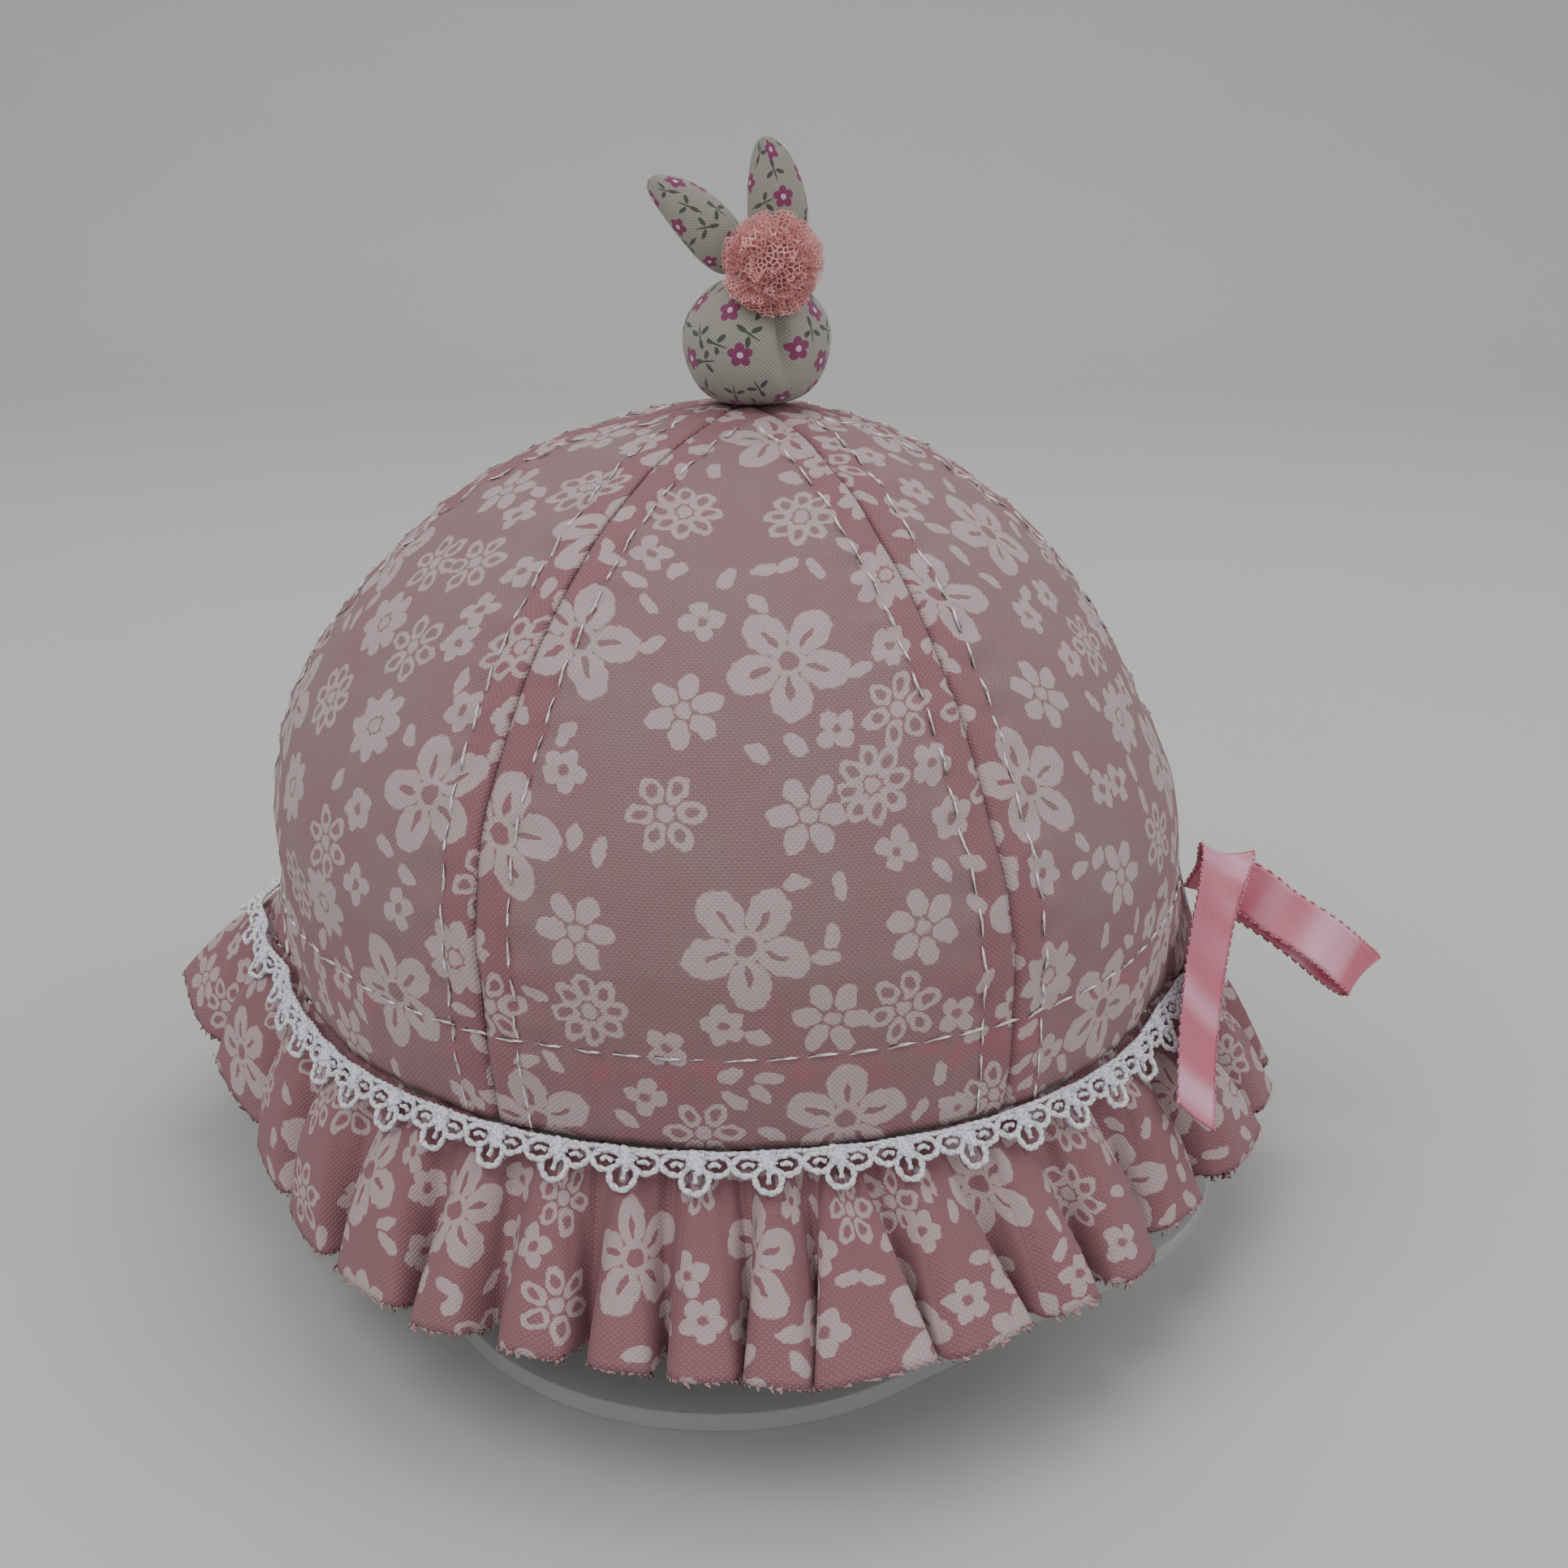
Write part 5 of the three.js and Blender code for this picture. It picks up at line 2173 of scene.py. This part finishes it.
    def _frill(
        self,
        mesh: bmesh.types.BMesh,
        layers: list[Any],
        centre: Vector,
        aim: Vector,
        chance: random.Random,
    ) -> None:
        """One fold of net.

        Args:
            mesh: The bmesh that takes it.
            layers: Its UV layers.
            centre: The pompom's middle.
            aim: The way that the fold points.
            chance: The source of its chance values.
        """
        side = aim.orthogonal().normalized()
        side.rotate(Matrix.Rotation(chance.uniform(0, TAU), 3, aim))
        deep = aim.cross(side)
        reach = self.pompom_radius * chance.uniform(0.84, 1.0)
        width = chance.uniform(4.6, 7.0)
        wave, phase = chance.uniform(0.5, 1.0), chance.uniform(0, TAU)
        bend = chance.uniform(-1.6, 1.6)
        drift = chance.uniform(0, 60)
        made = bmesh.ops.create_grid(mesh, x_segments=8, y_segments=6, size=0.5)["verts"]
        spots = {vert: (vert.co.x + 0.5, vert.co.y + 0.5) for vert in made}
        high = max(u for u, _ in spots.values())
        low = min(u for u, _ in spots.values())
        for vert, (u, v) in spots.items():
            share = (u - low) / (high - low)
            up = (v - low) / (high - low)
            across = (share - 0.5) * width * (0.25 + 0.75 * up)
            crimp = wave * math.sin(share * TAU * 1.5 + phase) * up
            out = reach * (0.25 + 0.75 * up) - 0.06 * across * across * up
            vert.co = to_row(centre + aim * out + side * across + deep * (crimp + bend * up * up))
        for face in {face for vert in made for face in vert.link_faces}:
            for loop in face.loops:
                u, v = spots[loop.vert]
                loop[layers[0]].uv = Vector((u * width + drift, v * reach + drift)) / UV_MM

    def _core(self) -> bpy.types.Object:
        """Makes the tight middle of the pompom, where the net is bunched.

        Returns:
            The core.
        """
        centre = self._pompom_middle()
        mesh = bmesh.new()
        bmesh.ops.create_uvsphere(mesh, u_segments=48, v_segments=32, radius=1.0)
        layers = cloth_layers(mesh)
        for face in mesh.faces:
            for loop in face.loops:
                spot = loop.vert.co
                loop[layers[0]].uv = Vector((spot.x, spot.z)) * self.pompom_core / UV_MM
        for vert in mesh.verts:
            ridge = 1 + 0.1 * noise.noise(vert.co * 3.1) + 0.06 * noise.noise(vert.co * 7.3)
            vert.co = to_row(centre + vert.co * self.pompom_core * ridge)
        return attach(place_mesh(mesh, "pompom_core", Finish.NET), "pink_net")


@dataclass
class Stand:
    """The clear stand: its foot, its post, and the dome that fills the crown."""

    crown: CrownShape
    middle: tuple[float, float] = (11.3, -2.3)
    halves: tuple[float, float] = (58.0, 70.0)
    corner: float = 45.0
    turn: float = -54.5
    thickness: float = 3.0
    drop: float = EDGE_HEIGHT
    gap: float = 0.3
    post_radius: float = 5.0
    post_top: float = 87.2
    dome_low: float = 62.0
    dome_wall: float = 1.6
    dome_sink: float = 1.9
    hole_room: float = 1.3
    plate_rim: float = 0.35
    post_rim: float = 0.4

    def build(self) -> list[bpy.types.Object]:
        """Makes the stand.

        Returns:
            The foot, the post and the dome.
        """
        return [self._foot(), self._post(), self._dome()]

    def _foot(self) -> bpy.types.Object:
        """Makes a plate with wide round corners and softened edges.

        Returns:
            The foot.
        """
        mesh = bmesh.new()
        bmesh.ops.create_grid(mesh, x_segments=1, y_segments=1, size=0.5)
        side = max(vert.co.x for vert in mesh.verts)
        for vert in mesh.verts:
            x, y, _ = vert.co / side
            vert.co = Vector((x * self.halves[0], y * self.halves[1], 0))
        bmesh.ops.bevel(
            mesh,
            geom=mesh.verts[:],
            offset=self.corner,
            segments=28,
            profile=0.5,
            affect="VERTICES",
            material=-1,
        )
        raised = bmesh.ops.extrude_face_region(mesh, geom=mesh.faces[:])["geom"]
        verts = [part for part in raised if isinstance(part, bmesh.types.BMVert)]
        bmesh.ops.translate(mesh, verts=verts, vec=(0, 0, self.thickness))
        bmesh.ops.recalc_face_normals(mesh, faces=mesh.faces[:])
        soften_rims(mesh, self.plate_rim)
        turn = Matrix.Rotation(math.radians(self.turn), 3, "Z")
        middle = Vector((*self.middle, -self.drop))
        for vert in mesh.verts:
            vert.co = to_row(turn @ vert.co + middle)
        foot = flatten_caps(place_mesh(mesh, "foot", Finish.CLEAR))
        return attach(foot, "clear_plastic", "stand_base")

    def _post(self) -> bpy.types.Object:
        """Makes the round post with softened ends.

        Returns:
            The post.
        """
        low = self.thickness - self.drop + self.gap
        mesh = bmesh.new()
        bmesh.ops.create_cone(
            mesh,
            cap_ends=True,
            segments=48,
            radius1=self.post_radius,
            radius2=self.post_radius,
            depth=self.post_top - low,
        )
        soften_rims(mesh, self.post_rim)
        lean = read_table(self.crown.lean, self.crown.height)
        shift = Vector((lean, 0, (self.post_top + low) / 2))
        for vert in mesh.verts:
            vert.co = to_row(vert.co + shift)
        post = flatten_caps(place_mesh(mesh, "post", Finish.CLEAR))
        return attach(post, "clear_plastic", "stand_post")

    def _dome(self) -> bpy.types.Object:
        """Makes the dome under the crown's top.

        Returns:
            The dome.
        """
        low = self.crown.share_where(lambda _, height: height > self.dome_low)
        hole = self.post_radius + self.hole_room
        high = self.crown.share_where(lambda radius, _: radius < hole)

        def place(u: float, v: float) -> Vector:
            """The point of a share of a turn and a share of the way up."""
            point, off = self.crown.surface(360 * u, low + (high - low) * v)
            return point - off * self.dome_sink

        def flat(u: float, v: float) -> tuple[float, float]:
            """The shares themselves, as the plastic has no cloth to measure."""
            return u, v

        grid = Grid(96, 24, True)
        dome = lay_sheet("dome", grid, place, flat, off_seams, Finish.CLEAR)
        thicken(dome, self.dome_wall)
        return attach(dome, "clear_plastic", "stand_dome")


@dataclass(frozen=True)
class Lamp:
    """A soft square light: where it hangs and its side, in metres, and its power, in watts."""

    name: str
    place: tuple[float, float, float]
    side: float
    power: float


@dataclass
class Studio:
    """The floor, the lights and the camera."""

    eye: tuple[float, float, float] = (0.0, -302.35, 138.0)
    tilt: float = 18.7
    lens: float = 44.72
    shift: tuple[float, float] = (0.0357, -0.0339)
    lamps: tuple[Lamp, ...] = (
        Lamp("key", (-0.55, -0.45, 0.95), 0.75, 5.2),
        Lamp("fill", (0.9, -0.35, 0.7), 0.9, 4.0),
        Lamp("top", (0.1, 0.45, 1.05), 0.9, 4.5),
        Lamp("low", (-0.1, -1.1, 0.3), 0.6, 1.0),
    )
    sky: Colour = (0.93, 0.94, 0.96)
    sky_strength: float = 0.55
    floor_half: float = 2.4
    floor_drop: float = 0.04505
    flat_until: float = 0.9
    wall_height: float = 2.6

    def build(self) -> None:
        """Makes the floor, the camera, the lights and the sky."""
        self._floor()
        self._camera()
        for lamp in self.lamps:
            self._light(lamp)
        world = bpy.data.worlds.new("studio")
        bpy.context.scene.world = world
        world.use_nodes = True
        back = world.node_tree.nodes["Background"]
        back.inputs[0].default_value = (*self.sky, 1.0)
        back.inputs[1].default_value = self.sky_strength

    def _floor(self) -> None:
        """Makes a plain floor, just under the plate, that curves up far behind the bonnet."""
        mesh = bmesh.new()
        bmesh.ops.create_grid(mesh, x_segments=24, y_segments=60, size=2.0)
        reach = max(vert.co.y for vert in mesh.verts)
        for vert in mesh.verts:
            vert.co *= self.floor_half / reach
            past = max(vert.co.y - self.flat_until, 0.0)
            vert.co.z = ORIGIN.z - self.floor_drop + min(past * past * 1.4, self.wall_height)
        floor = place_mesh(mesh, "floor", Finish.FLOOR)

    def _camera(self) -> None:
        """Sets the camera at the photograph's place."""
        data = bpy.data.cameras.new("camera")
        data.lens = self.lens
        data.sensor_width = 36.0
        data.shift_x, data.shift_y = self.shift
        data.clip_start, data.clip_end = 0.01, 20.0
        camera = bpy.data.objects.new("camera", data)
        bpy.context.scene.collection.objects.link(camera)
        camera.location = to_row(Vector(self.eye))
        camera.rotation_euler = (math.radians(90 - self.tilt), 0.0, 0.0)
        bpy.context.scene.camera = camera

    def _light(self, lamp: Lamp) -> None:
        """Hangs a light that faces the bonnet.

        Args:
            lamp: The light.
        """
        data = bpy.data.lights.new(lamp.name, "AREA")
        data.shape = "SQUARE"
        data.size = lamp.side
        data.energy = lamp.power
        light = bpy.data.objects.new(lamp.name, data)
        bpy.context.scene.collection.objects.link(light)
        light.location = lamp.place
        aim = Vector((0, 0, 0.08)) - light.location
        light.rotation_euler = aim.to_track_quat("-Z", "Y").to_euler()


def main() -> None:
    """Builds the studio and every sub-assembly."""
    logging.basicConfig(level=logging.INFO, format="%(message)s")
    crown = CrownShape()
    bonnet = (Crown(crown), Edging(RuffleShape(crown)), Ribbons(), Rabbit(crown))
    parts = (Studio(), *bonnet, Stand(crown))
    for part in parts:
        LOG.info("building %s", type(part).__name__)
        part.build()


if __name__ == "__main__":
    main()
